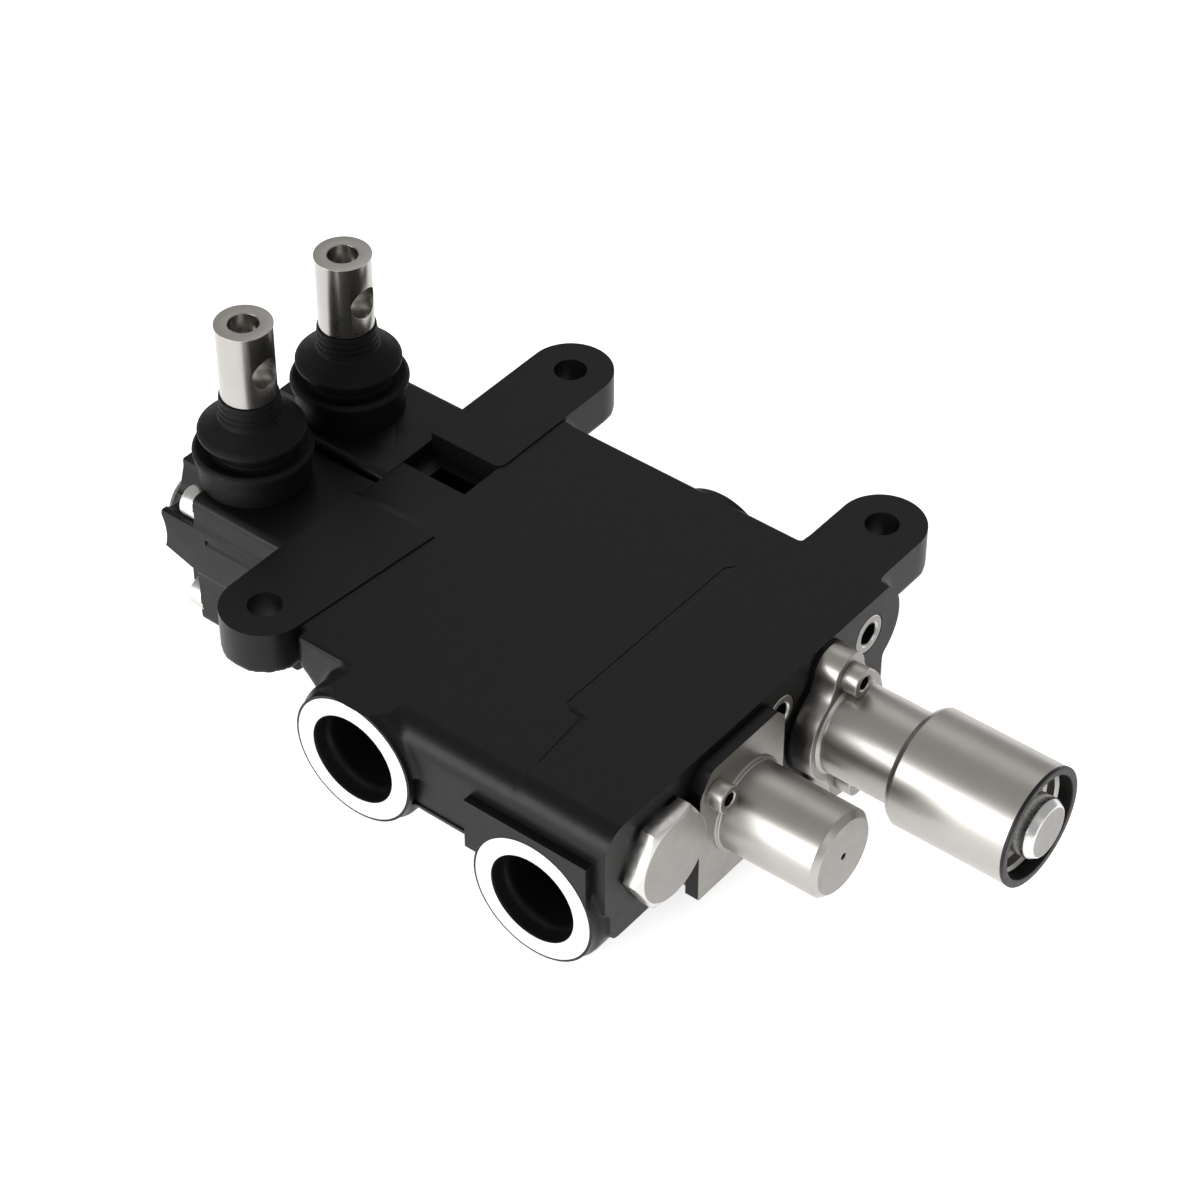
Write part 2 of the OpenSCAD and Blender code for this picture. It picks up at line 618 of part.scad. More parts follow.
module cap_rear() {
    x0 = end_x + gasket_t;
    x1 = x0 + tube_plate_t;
    color("#8d8a86") translate([0, rear_y, spool_z]) difference() {
        union() {
            xpush(x0, x1) lobes(tube_r + 3.2, 7.2);
            xcyl(x0, sleeve_x + 5, tube_r);
        }
        xcyl(x0 - 1, sleeve_x + 6, 11.8);
        for (s = [-1, 1]) translate([0, 0, s * tube_screw_z]) {
            xcyl(x0 - 1, x1 + 1, cap_screw_d / 2 + fit);
            xcyl(x1, x1 + 8, 4.6);
        }
    }
}
module cap_gasket() {
    color("#101010") translate([0, rear_y, spool_z]) difference() {
        xpush(end_x, end_x + gasket_t) lobes(tube_r + 3.7, 7.7);
        xcyl(end_x - 1, end_x + 3, 11.8);
        for (s = [-1, 1]) translate([0, 0, s * tube_screw_z])
            xcyl(end_x - 1, end_x + 3, cap_screw_d / 2 + fit);
    }
}
module end_cap_screw() { cap_screw(cap_screw_d, cap_screw_l, cap_head_r, cap_head_h, cap_key); }
module cap_screws() {
    color("#a8a49e") {
        translate([end_x + cap_plate_t, spool_y, spool_z]) for (s = [-1, 1])
            translate([0, s * cap_screw_y, -s * cap_screw_z]) end_cap_screw();
        translate([end_x + gasket_t + tube_plate_t, rear_y, spool_z]) for (s = [-1, 1])
            translate([0, 0, s * tube_screw_z]) end_cap_screw();
    }
}

// Centring set
module seat_in() {
    difference() {
        xcyl(seat_x, seat_x + 1.6, 10.9);
        xcyl(seat_x - 1, seat_x + 5, spool_d / 2 + 0.35);
    }
}
module seat_out(bore_r) {
    difference() {
        union() {
            xcyl(out_x, out_x + 1.6, 10.9);
            xcyl(out_x - 1.4, out_x + 0.1, 8.2);
        }
        xcyl(out_x - 5, out_x + 5, bore_r);
    }
}
module seat_in_front() { color("#a8a49e") translate([0, spool_y, spool_z]) seat_in(); }
module seat_in_rear() { color("#a8a49e") translate([0, rear_y, spool_z]) seat_in(); }
module seat_out_front() { color("#a8a49e") translate([0, spool_y, spool_z]) seat_out(3 + fit); }
module seat_out_rear() { color("#a8a49e") translate([0, rear_y, spool_z]) seat_out(3 + fit); }
module spring_front() {
    color("#9a9a9a") translate([0, spool_y, spool_z])
        coil(seat_x + 1.7, out_x - 0.1, coil_r, coil_wire, coil_turns);
}
module spring_rear() {
    color("#9a9a9a") translate([0, rear_y, spool_z])
        coil(seat_x + 1.7, out_x - 0.1, coil_r, coil_wire, coil_turns);
}
module shoulder_bolt() {
    color("#a8a49e") translate([0, spool_y, spool_z]) difference() {
        union() {
            xcyl(spool_end_x - 12, out_x + 2, 3);
            xcyl(spool_end_x, out_x - 1.5, 5);
            xcyl(out_x + 1.6, out_x + 5.6, 5);
        }
        xpush(out_x + 3.4, out_x + 6) hexagon(4);
    }
}
// Detent set of the rear spool
module detent_rod() {
    color("#a8a49e") translate([0, rear_y, spool_z]) difference() {
        union() {
            xcyl(spool_end_x - 12, out_x + 2, 3);
            xcyl(spool_end_x, out_x - 1.5, 5);
            xcyl(out_x + 1.6, sleeve_end_x - 3, 5);
            xcyl(cage_x - 5, cage_x + 5, 7.6);
        }
        for (a = [45:90:315]) rotate([a, 0, 0]) translate([cage_x, 0, 0]) ycyl(3.8, 9, 2.5);
    }
}
module detent_balls() {
    color("#d8d8d8") translate([0, rear_y, spool_z]) for (a = [45:90:315])
        rotate([a, 0, 0]) translate([cage_x, 6.4, 0]) sphere(2.4);
}
module detent_ring() {
    color("#8d8a86") translate([0, rear_y, spool_z]) difference() {
        xcyl(sleeve_x + 5.1, sleeve_end_x - 14, 12.9);
        xcyl(sleeve_x + 4, sleeve_end_x - 10, 9.2);
        for (x = [cage_x, cage_x + 10]) xcyl(x - 1.6, x + 1.6, 10.4);
    }
}
module sleeve() {
    floor_x = sleeve_end_x - 11;
    color("#8d8a86") translate([0, rear_y, spool_z]) difference() {
        xturn([[sleeve_x, 0], [sleeve_x, tube_r + 0.9], [sleeve_x + 0.8, sleeve_r - 1.2],
            [sleeve_x + 2.6, sleeve_r], [sleeve_end_x, sleeve_r], [sleeve_end_x, 0]]);
        xcyl(sleeve_x - 1, sleeve_x + 5.1, tube_r + fit);
        xcyl(sleeve_x + 5, sleeve_end_x - 13.9, 12.9 + fit);
        xcyl(sleeve_x, sleeve_end_x, 6);
        xcyl(floor_x, sleeve_end_x + 1, recess_r);
    }
}
module end_ring() {
    color("#141414") translate([0, rear_y, spool_z])
        xturn([[sleeve_end_x, recess_r], [sleeve_end_x, ring_r], [sleeve_end_x + ring_t, ring_r],
            [sleeve_end_x + ring_t, recess_r]]);
}
module button() {
    x1 = sleeve_end_x + ring_t + button_out;
    color("#cfcfcf") translate([0, rear_y, spool_z])
        xturn([[sleeve_end_x - 3, 0], [sleeve_end_x - 3, button_r - 0.6], [sleeve_end_x - 2.4, button_r],
            [x1 - 2.4, button_r], [x1 - 1.1, button_r - 0.5], [x1 - 0.3, button_r - 1.4],
            [x1, button_r - 2.6], [x1, 0]]);
}

// Plugs
module beyond_plug() {
    color("#b4b1ab") translate([0, beyond_y, -inlet_drop]) difference() {
        union() {
            xcyl(end_x - beyond_l, end_x - 2.5, beyond_d / 2);
            xcyl(end_x - 3, end_x + 1, beyond_d / 2 - seal_neck);
            xcyl(end_x, end_x + 1.5, beyond_af / 2 - 0.4);
            intersection() {
                // flats at the top and the bottom
                xpush(end_x + 1, end_x + 1 + beyond_h) rotate([0, 0, 30]) hexagon(beyond_af);
                rotate([11, 0, 0]) xturn([[end_x, 0], [end_x, beyond_af / 2 + 4.9],
                    [end_x + beyond_h - 2, beyond_af / 2 + 4.9],
                    [end_x + 1 + beyond_h, beyond_af / 2 - 0.5], [end_x + 1 + beyond_h, 0]]);
            }
        }
        xcyl(end_x - beyond_l - 1, end_x - 4, 8);
    }
}
module plug_seals() {
    color("#151515") translate([end_x - 1.3, beyond_y, -inlet_drop]) rotate([0, 90, 0])
        rotate_extrude() translate([beyond_d / 2 - seal_neck / 2, 0]) circle(seal_neck / 2 - 0.05);
}
module flush_plugs() {
    color("#d2d0cc") for (y = [flush_y1, flush_y2]) translate([0, y, -flush_drop]) difference() {
        xturn([[end_x - 12, 0], [end_x - 12, flush_r], [end_x - 0.3, flush_r], [end_x, flush_r - 0.3],
            [end_x, 0]]);
        xpush(end_x - 6, end_x + 1) hexagon(flush_af);
    }
}
module far_plug() {
    color("#8d8a86") translate([far_port_x, far_plug_y, far_port_z]) difference() {
        ycyl(-13, 0, far_plug_d / 2);
        translate([0, -7, 0]) rotate([-90, 0, 0]) linear_extrude(8) hexagon(far_plug_af);
    }
}
// Load check and main relief behind the flush plugs
module poppet(x) {
    xturn([[x, 0], [x, 1.5], [x + 4, 4.8], [x + 16, 4.8], [x + 16, 3.4], [x + 7, 3.4], [x + 7, 0]]);
}
module check_poppet() { color("#a8a49e") translate([0, flush_y1, -flush_drop]) poppet(end_x - 42); }
module check_spring() {
    color("#9a9a9a") translate([0, flush_y1, -flush_drop])
        coil(end_x - 34.9, end_x - 12.1, 2.4, 1, 6, 6, 12);
}
module relief_seat() {
    color("#a8a49e") translate([0, flush_y2, -flush_drop]) difference() {
        xcyl(end_x - 43, end_x - 38, 5.15);
        xcyl(end_x - 44, end_x - 37, 2.2);
    }
}
module relief_poppet() {
    color("#a8a49e") translate([0, flush_y2, -flush_drop])
        xturn([[end_x - 37.9, 0], [end_x - 37.9, 2], [end_x - 35, 4.8], [end_x - 27, 4.8],
            [end_x - 27, 2], [end_x - 22, 2], [end_x - 22, 0]]);
}
module relief_spring() {
    color("#9a9a9a") translate([0, flush_y2, -flush_drop])
        coil(end_x - 26.9, end_x - 12.1, 3.2, 1.4, 5, 6, 12);
}

body();
spool_front();
spool_rear();
spool_seals();
lever_front();
lever_rear();
pivot_pins();
house_front();
house_rear();
boot_front();
boot_rear();
house_screws();
house_caps();
cap_front();
cap_rear();
cap_gasket();
cap_screws();
seat_in_front();
seat_in_rear();
seat_out_front();
seat_out_rear();
spring_front();
spring_rear();
shoulder_bolt();
detent_rod();
detent_ring();
detent_balls();
sleeve();
end_ring();
button();
beyond_plug();
plug_seals();
flush_plugs();
far_plug();
check_poppet();
check_spring();
relief_seat();
relief_poppet();
relief_spring();
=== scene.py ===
"""Two-spool manual hydraulic valve: the dressed model and its studio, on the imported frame.

Lengths inside the modelling helpers are millimetres; Blender's own unit stays the metre.
"""

import math

import bmesh
import bpy
import numpy as np
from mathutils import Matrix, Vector


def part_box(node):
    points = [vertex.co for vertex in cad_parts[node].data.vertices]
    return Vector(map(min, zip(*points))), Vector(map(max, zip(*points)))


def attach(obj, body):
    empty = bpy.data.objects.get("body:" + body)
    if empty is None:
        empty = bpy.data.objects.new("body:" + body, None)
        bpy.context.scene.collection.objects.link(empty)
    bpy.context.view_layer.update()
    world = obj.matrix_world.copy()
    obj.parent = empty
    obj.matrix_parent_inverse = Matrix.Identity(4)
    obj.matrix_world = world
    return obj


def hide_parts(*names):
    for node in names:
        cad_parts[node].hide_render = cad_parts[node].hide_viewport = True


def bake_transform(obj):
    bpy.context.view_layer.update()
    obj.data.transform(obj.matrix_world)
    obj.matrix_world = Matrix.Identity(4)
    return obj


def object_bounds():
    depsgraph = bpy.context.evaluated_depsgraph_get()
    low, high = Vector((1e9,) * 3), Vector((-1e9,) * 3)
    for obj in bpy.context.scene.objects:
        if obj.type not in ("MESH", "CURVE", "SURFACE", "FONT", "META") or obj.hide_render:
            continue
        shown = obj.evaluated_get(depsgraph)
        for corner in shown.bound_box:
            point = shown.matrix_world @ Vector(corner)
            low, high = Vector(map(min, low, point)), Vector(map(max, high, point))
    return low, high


bl_info = {
    "name": "Manual Hydraulic Valve",
    "version": (1, 0, 0),
    "blender": (4, 5, 0),
    "location": "View3D > Sidebar > Valve",
    "description": "Models a two-spool manual hydraulic valve piece by piece, with its studio",
    "category": "Add Mesh",
}

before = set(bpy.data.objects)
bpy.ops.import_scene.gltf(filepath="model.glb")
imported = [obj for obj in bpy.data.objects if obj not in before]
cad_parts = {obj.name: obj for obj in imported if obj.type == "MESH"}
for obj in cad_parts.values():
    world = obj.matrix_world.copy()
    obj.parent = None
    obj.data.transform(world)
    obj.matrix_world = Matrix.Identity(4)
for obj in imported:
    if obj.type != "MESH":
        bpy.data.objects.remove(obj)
CAD_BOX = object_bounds()
MM = 0.001
AXES = {"X": Vector((1, 0, 0)), "Y": Vector((0, 1, 0)), "Z": Vector((0, 0, 1))}


def edges_of(node):
    """Lowest and highest corner of a CAD node, in millimetres."""
    lo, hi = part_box(node)
    return lo / MM, hi / MM


def middle(node):
    lo, hi = edges_of(node)
    return (lo + hi) / 2


# Places shared by several pieces, read from the frame.
LEFT_X = edges_of("body")[0].x
END_X = edges_of("body")[1].x
FRONT_Y = middle("spool_front").y
REAR_Y = middle("spool_rear").y
SPOOL_Z = middle("spool_front").z
SPOOL_LINES = ((FRONT_Y, "front"), (REAR_Y, "rear"))
STEM_X = middle("boot_front").x
PIVOT_Z = middle("pivot_pins").z
PLUG_Z = middle("flush_plugs").z
FAR_PORT = (middle("far_plug").x, middle("far_plug").z)
FAR_FACE = edges_of("far_plug")[1].y + 1

# Places measured from the photograph; the first ear's hole is the origin, at the pads' height.
DECK = -0.5  # main face, under the raised pads
UNDERSIDE = -57
WALL_Y = -13.6  # wall of the gallery on the port side
PORT_Y = -16.6  # milled face of the side ports
INLET = (46.6, -20.4)
OUTLET = (111.1, -34.5)
EARS = ((0, 0), (0, 138), (116.6, 138))
EAR_T = 14.5
PLUG_YS = (65.0, 107.8)
HOUSE_SEAT = -50.8  # under the heads of the housing screws
HOUSE_EARS_X = -63.6  # outer end of a housing's side ears
COVER_X = -65.8  # outer end of a housing, where its end cover sits
PLATE_X = END_X + 4.5  # front face of the front cap's plate
GASKET_X = END_X + 0.8
TUBE_X = END_X + 8.3  # front face of the rear cap's flange
FRONT_CAP_SCREWS = [(FRONT_Y + a * 14.7, SPOOL_Z - a * 15.6) for a in (-1, 1)]
REAR_CAP_SCREWS = [(REAR_Y, SPOOL_Z + a * 19.3) for a in (-1, 1)]

# Radii of the holes that several pieces share.
SPOOL_BORE_R = 8.03
SEAL_R = 10.2
HOUSE_HOLE_R = 4.05
CAP_HOLE_R = 2.55
CAP_BORE_R = 11.8
EAR_HOLE_R = 5.15
PIVOT_HOLE_R = 3.05


def house_screws(y):
    """Places (y, z) of the four screws of the housing on the spool line y."""
    return [(y + a * 15.2, SPOOL_Z + b * 17.8) for a in (-1, 1) for b in (-1, 1)]


# User values
def length_property(name, description, default, **limits):
    return bpy.props.FloatProperty(
        name=name, description=description, default=default, precision=5, unit="LENGTH", **limits)


def colour_property(name, what, default):
    return bpy.props.StringProperty(name=name, description=f"sRGB hex of {what}", default=default)


class ValveSizes(bpy.types.PropertyGroup):
    casting_grid: length_property(
        "Casting grid", "Cell size of the casting's skin", 0.0009, min=0.0005, max=0.003)
    casting_softness: bpy.props.IntProperty(
        name="Casting softness", description="Smoothing rounds that give the casting its fillets",
        default=7, min=0, max=40)
    ear_radius: length_property("Ear radius", "Outer radius of a mounting ear", 0.01345)
    edge_break: length_property("Edge break", "Bevel on machined edges", 0.00035)
    stem_radius: length_property("Stem radius", "Radius of a lever stem", 0.0085)
    turning_steps: bpy.props.IntProperty(
        name="Turning steps", description="Steps round a turned piece", default=96, min=24, max=256)


class ValveColours(bpy.types.PropertyGroup):
    paint: colour_property("Body paint", "the black enamel", "0b0b0c")
    rubber: colour_property("Rubber", "the boots", "0a0a0a")
    steel: colour_property("Turned steel", "the caps and the sleeve", "b4b1ad")
    stem: colour_property("Stem steel", "the lever stems", "b3b0ac")
    floor: colour_property("Floor", "the studio floor", "ffffff")


# Modelling helpers
def fresh():
    """Object mode with nothing selected."""
    if bpy.context.object and bpy.context.object.mode != "OBJECT":
        bpy.ops.object.mode_set(mode="OBJECT")
    bpy.ops.object.select_all(action="DESELECT")


def pick(obj):
    fresh()
    obj.select_set(True)
    bpy.context.view_layer.objects.active = obj
    return obj


def settled():
    """Moves the active object's place into its mesh."""
    bpy.ops.object.transform_apply(location=True, rotation=True, scale=True)
    return bpy.context.object


def block(lo, hi):
    fresh()
    bpy.ops.mesh.primitive_cube_add(size=1, location=[(a + b) / 2 * MM for a, b in zip(lo, hi)])
    bpy.context.object.scale = [(b - a) * MM for a, b in zip(lo, hi)]
    return settled()


def rod(a, b, r, r2=None, steps=96):
    """A round bar or cone from a to b."""
    fresh()
    a, b = Vector(a) * MM, Vector(b) * MM
    bpy.ops.mesh.primitive_cone_add(
        vertices=steps, radius1=r * MM, radius2=(r if r2 is None else r2) * MM,
        depth=(b - a).length, location=(a + b) / 2,
        rotation=(b - a).to_track_quat("Z", "Y").to_euler())
    return settled()


def along_x(x0, x1, y, z, r, r2=None, steps=96):
    return rod((x0, y, z), (x1, y, z), r, r2, steps)


def chain(points):
    """Draws a run of edges by extruding one vertex, and stays in edit mode."""
    fresh()
    bpy.ops.mesh.primitive_circle_add(vertices=3, radius=MM, location=(0, 0, 0))
    bpy.ops.object.mode_set(mode="EDIT")
    bpy.ops.mesh.select_mode(type="VERT")
    bpy.ops.mesh.select_all(action="SELECT")
    bpy.ops.mesh.merge(type="CENTER")
    bpy.ops.transform.translate(value=Vector(points[0]) * MM)
    for p, q in zip(points, points[1:]):
        bpy.ops.mesh.extrude_region_move(
            TRANSFORM_OT_translate={"value": (Vector(q) - Vector(p)) * MM})


def rounded(corners, steps=6, closed=False):
    """Corners (u, v, fillet radius) become a smooth outline of (u, v) points."""
    n = len(corners)
    out = []
    for i, (u, v, r) in enumerate(corners):
        p = Vector((u, v))
        if r <= 0 or (not closed and i in (0, n - 1)):
            out.append(p)
            continue
        a = Vector(corners[i - 1][:2]) - p
        b = Vector(corners[(i + 1) % n][:2]) - p
        half = a.angle(b) / 2
        reach = min(r / math.tan(half), a.length * 0.49, b.length * 0.49)
        r = reach * math.tan(half)
        start, stop = p + a.normalized() * reach, p + b.normalized() * reach
        centre = p + (a.normalized() + b.normalized()).normalized() * (r / math.sin(half))
        for k in range(steps + 1):
            t = k / steps
            arm = (start - centre).lerp(stop - centre, t).normalized() * r
            out.append(centre + arm)
    return [(q.x, q.y) for q in out]


def turned(profile, at, axis="X", steps=None):
    """Spins a profile of (along, radius) points about a line through `at`."""
    steps = steps or bpy.context.scene.valve_sizes.turning_steps
    a = AXES[axis]
    side = AXES["Z"] if axis != "Z" else AXES["X"]
    chain([Vector(at) + a * s + side * r for s, r in profile])
    bpy.ops.mesh.select_all(action="SELECT")
    bpy.ops.mesh.spin(steps=steps, angle=2 * math.pi, center=Vector(at) * MM, axis=a)
    return closed_mesh()


def closed_mesh():
    """Merges seams and poles, turns faces outwards and returns to object mode."""
    bpy.ops.mesh.select_all(action="SELECT")
    bpy.ops.mesh.remove_doubles(threshold=2e-6)
    bpy.ops.mesh.normals_make_consistent(inside=False)
    bpy.ops.object.mode_set(mode="OBJECT")
    return bpy.context.object


def plate(outline, axis, start, stop, at=(0, 0, 0)):
    """A plate on an outline square to the axis: (Y, Z) points for X, (X, Z) for Y, (X, Y) for Z."""
    place = {"X": lambda u, v: (start, u, v), "Y": lambda u, v: (u, start, v),
             "Z": lambda u, v: (u, v, start)}[axis]
    chain([Vector(place(u, v)) + Vector(at) for u, v in outline])
    bpy.ops.mesh.select_all(action="SELECT")
    bpy.ops.mesh.edge_face_add()
    bpy.ops.mesh.extrude_region_move(
        TRANSFORM_OT_translate={"value": AXES[axis] * (stop - start) * MM})
    return closed_mesh()


def soften(obj, chosen, radius, segments=8):
    """Bevels the edges for which chosen(a, b) is true, a and b in millimetres."""
    pick(obj)
    bpy.ops.object.mode_set(mode="EDIT")
    bpy.ops.mesh.select_mode(type="EDGE")
    bpy.ops.mesh.select_all(action="DESELECT")
    mesh = bmesh.from_edit_mesh(obj.data)
    for e in mesh.edges:
        if chosen(e.verts[0].co / MM, e.verts[1].co / MM):
            e.select_set(True)
    bmesh.update_edit_mesh(obj.data)
    bpy.ops.mesh.bevel(offset=radius * MM, segments=segments, affect="EDGES")
    bpy.ops.object.mode_set(mode="OBJECT")
    return obj


def runs_along(axis, **near):
    """A test for edges along one axis whose other coordinates lie near the given values."""
    k = "XYZ".index(axis)

    def test(a, b):
        if abs(a[k] - b[k]) < 0.01 or any(abs(a[j] - b[j]) > 0.01 for j in range(3) if j != k):
            return False
        return all(abs(a["xyz".index(n)] - v) < 0.05 for n, v in near.items())

    return test


def apply(obj, kind, **settings):
    pick(obj)
    modifier = obj.modifiers.new(kind.lower(), kind)
    for key, value in settings.items():
        setattr(modifier, key, value)
    bpy.ops.object.modifier_apply(modifier=modifier.name)
    return obj


def stamp(obj):
    """A number that changes when a mesh changes."""
    co = np.empty(len(obj.data.vertices) * 3, np.float32)
    obj.data.vertices.foreach_get("co", co)
    return len(co), float(np.abs(co).sum(dtype=np.float64))


def combine(obj, tool, how="DIFFERENCE", solver="MANIFOLD"):
    """Cuts, joins or crosses obj with tool, and removes the tool."""
    before = stamp(obj)
    for way in dict.fromkeys((solver, "EXACT")):
        pick(obj)
        modifier = obj.modifiers.new("tool", "BOOLEAN")
        modifier.operation, modifier.solver, modifier.object = how, way, tool
        bpy.ops.object.modifier_apply(modifier=modifier.name)
        if stamp(obj) != before:
            break
    bpy.data.objects.remove(tool)
    if not obj.data.polygons or stamp(obj) == before:
        raise RuntimeError(f"a cut left {obj.name} unchanged or empty")
    return obj


def cut(obj, *tools, solver="MANIFOLD"):
    for tool in tools:
        combine(obj, tool, solver=solver)
    return obj


def add(obj, *others, solver="MANIFOLD"):
    for other in others:
        combine(obj, other, "UNION", solver)
    return obj


def joined(*parts):
    """Parts that only touch or stand apart, as one mesh."""
    fresh()
    for p in parts:
        p.select_set(True)
    bpy.context.view_layer.objects.active = parts[0]
    bpy.ops.object.join()
    return bpy.context.object


def edge_broken(obj, width=None, angle=32, segments=2):
    width = bpy.context.scene.valve_sizes.edge_break if width is None else width * MM
    return apply(obj, "BEVEL", width=width, limit_method="ANGLE", angle_limit=math.radians(angle),
                 segments=segments, use_clamp_overlap=True)


def cast(parts):
    """Melts overlapping blocks and rods into one cast skin with fillets."""
    sizes = bpy.context.scene.valve_sizes
    obj = joined(*parts)
    apply(obj, "REMESH", mode="VOXEL", voxel_size=sizes.casting_grid)
    return apply(obj, "SMOOTH", factor=0.5, iterations=sizes.casting_softness)


def coated(obj, name, coat, angle):
    """Names a piece, smooths its faces up to an angle and gives it the finish called coat."""
    obj.name = obj.data.name = name
    pick(obj)
    bpy.ops.object.shade_smooth_by_angle(angle=math.radians(angle))
    obj.data.materials.clear()
    obj.data.materials.append(finish(coat))
    return obj


def finished(obj, name, coat, instead_of, angle=30, body="valve"):
    """Coats a rigid piece and hands it over to its body in place of a CAD node."""
    coated(obj, name, coat, angle)
    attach(obj, body)
    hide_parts(instead_of)
    return obj


# Material helpers
def linear(hexcode):
    """sRGB hex to linear RGBA."""
    parts = [int(hexcode[i:i + 2], 16) / 255 for i in (0, 2, 4)]
    return tuple(c / 12.92 if c <= 0.04045 else ((c + 0.055) / 1.055) ** 2.4 for c in parts) + (1,)


def node(tree, kind, settings=None, inputs=None):
    """Adds a node with its settings, and fills or links its inputs."""
    made = tree.nodes.new(kind)
    for key, value in (settings or {}).items():
        setattr(made, key, value)
    for key, value in (inputs or {}).items():
        socket = made.inputs[key]
        if isinstance(value, bpy.types.NodeSocket):
            tree.links.new(value, socket)
        else:
            socket.default_value = value
    return made


def surface(name, base, metallic, roughness, **more):
    """A material with its principled shader; returns (material, tree, shader, object coordinates)."""
    material = bpy.data.materials.new(name)
    material.use_nodes = True
    tree = material.node_tree
    tree.nodes.clear()
    shader = node(tree, "ShaderNodeBsdfPrincipled", None, {
        "Base Color": linear(base), "Metallic": metallic, "Roughness": roughness, **more})
    out = node(tree, "ShaderNodeOutputMaterial", None, {"Surface": shader.outputs[0]})
    out.location = (600, 0)
    place = node(tree, "ShaderNodeTexCoord").outputs["Object"]
    return material, tree, shader, place


def grain(tree, place, size_mm, detail=3):
    """Noise whose lumps are about size_mm across."""
    return node(tree, "ShaderNodeTexNoise", None, {
        "Vector": place, "Scale": 1000 / size_mm, "Detail": detail, "Roughness": 0.55,
    }).outputs["Fac"]


def gloss(tree, shader, noise, low, high):
    """Lets the roughness wander between two values with a noise."""
    mapped = node(tree, "ShaderNodeMapRange", None, {
        "Value": noise, "From Min": 0.3, "From Max": 0.7, "To Min": low, "To Max": high})
    tree.links.new(mapped.outputs["Result"], shader.inputs["Roughness"])


def tinted(tree, shader, noise, low, high):
    """Lets the base colour wander between two hex colours with a noise."""
    mixed = node(tree, "ShaderNodeMix", {"data_type": "RGBA"}, {
        "Factor": noise, "A": linear(low), "B": linear(high)})
    tree.links.new(mixed.outputs["Result"], shader.inputs["Base Color"])


def bands(tree, place, pitch_mm, axis, kind="BANDS"):
    """Tool marks of a real pitch; a wave texture repeats every pi / (10 * scale)."""
    way = "bands_direction" if kind == "BANDS" else "rings_direction"
    return node(tree, "ShaderNodeTexWave", {"wave_type": kind, way: axis}, {
        "Vector": place, "Scale": math.pi / 10 / (pitch_mm * MM), "Distortion": 0.3}).outputs["Fac"]


def bumped(tree, shader, height, depth_mm, strength=1.0):
    relief = node(tree, "ShaderNodeBump", None, {
        "Height": height, "Strength": strength, "Distance": depth_mm * MM})
    tree.links.new(relief.outputs["Normal"], shader.inputs["Normal"])


def lighter(hexcode, factor):
    """The hex colour with each channel multiplied by factor."""
    channels = [round(int(hexcode[i:i + 2], 16) * factor) for i in (0, 2, 4)]
    return "".join(f"{min(255, c):02x}" for c in channels)


def black_enamel():
    """Cast iron under black enamel: a satin film that follows the sand grain softly, so highlights
    on the fillets are broad and slightly uneven while flats stay near black."""
    hexcode = bpy.context.scene.valve_colours.paint
    material, tree, shader, place = surface(
        "black_enamel_on_cast_iron", hexcode, 0, 0.4, **{"Specular IOR Level": 0.22})
    tinted(tree, shader, grain(tree, place, 9, 4), lighter(hexcode, 0.9), lighter(hexcode, 1.15))
    gloss(tree, shader, grain(tree, place, 3), 0.37, 0.43)
    bumped(tree, shader, grain(tree, place, 1.1, 3), 0.02, 0.25)
    return material


def nitrile_rubber():
    """Moulded nitrile rubber: dark and matte, with the fine grain of its mould."""
    hexcode = bpy.context.scene.valve_colours.rubber
    material, tree, shader, place = surface(
        "moulded_nitrile_rubber", hexcode, 0, 0.6, **{"Specular IOR Level": 0.15})
    tinted(tree, shader, grain(tree, place, 4), lighter(hexcode, 0.85), lighter(hexcode, 1.2))
    gloss(tree, shader, grain(tree, place, 1.2), 0.52, 0.68)
    bumped(tree, shader, grain(tree, place, 0.45, 2), 0.02, 0.6)
    return material


def turned_steel(name, hexcode, roughness, groove_mm, axis, depth_mm=0.004):
    """Turned steel: fine tool grooves square to the turning axis that draw the highlights into
    soft bands, and thin cloudy oxide that varies the gloss a little."""
    material, tree, shader, place = surface(name, hexcode, 1, roughness)
    tinted(tree, shader, grain(tree, place, 14), lighter(hexcode, 0.95), lighter(hexcode, 1.05))
    gloss(tree, shader, grain(tree, place, 8), roughness * 0.94, roughness * 1.06)
    bumped(tree, shader, bands(tree, place, groove_mm, axis), depth_mm, 0.12)
    return material


def end_steel_painted_shade():
    """Ends of turned parts that look along +X: greyer than their sides, a painted shade that keeps these
    faces mid grey where they would mirror the bright floor; a noise varies the tone and gloss a little."""
    material, tree, shader, place = surface("end_steel_with_painted_shade", "94918e", 1, 0.38)
    tinted(tree, shader, grain(tree, place, 6), "8b8885", "9d9a97")
    gloss(tree, shader, grain(tree, place, 2), 0.34, 0.42)
    bumped(tree, shader, grain(tree, place, 0.4, 2), 0.004, 0.3)
    return material


def machined_face():
    """Milled iron left bare round the ports: bright, with faint cutter arcs."""
    material, tree, shader, place = surface("milled_bare_iron", "e9e7e4", 1, 0.34)
    bumped(tree, shader, bands(tree, place, 0.5, "Y", "RINGS"), 0.002, 0.15)
    gloss(tree, shader, grain(tree, place, 2), 0.28, 0.4)
    return material


def zinc_plate():
    """Zinc-plated steel: pale, slightly frosted, with the soft blotches of clear passivation."""
    material, tree, shader, place = surface("clear_zinc_plated_steel", "d6d4d0", 1, 0.33)
    tinted(tree, shader, grain(tree, place, 5, 4), "cbc9c5", "dedcd9")
    gloss(tree, shader, grain(tree, place, 1.5), 0.28, 0.4)
    bumped(tree, shader, grain(tree, place, 0.5, 2), 0.006, 0.5)
    return material


def chrome():
    """Chromed button: bright, with a soft haze from handling."""
    material, tree, shader, place = surface("chromed_steel", "dedede", 1, 0.26)
    gloss(tree, shader, grain(tree, place, 2), 0.24, 0.3)
    return material


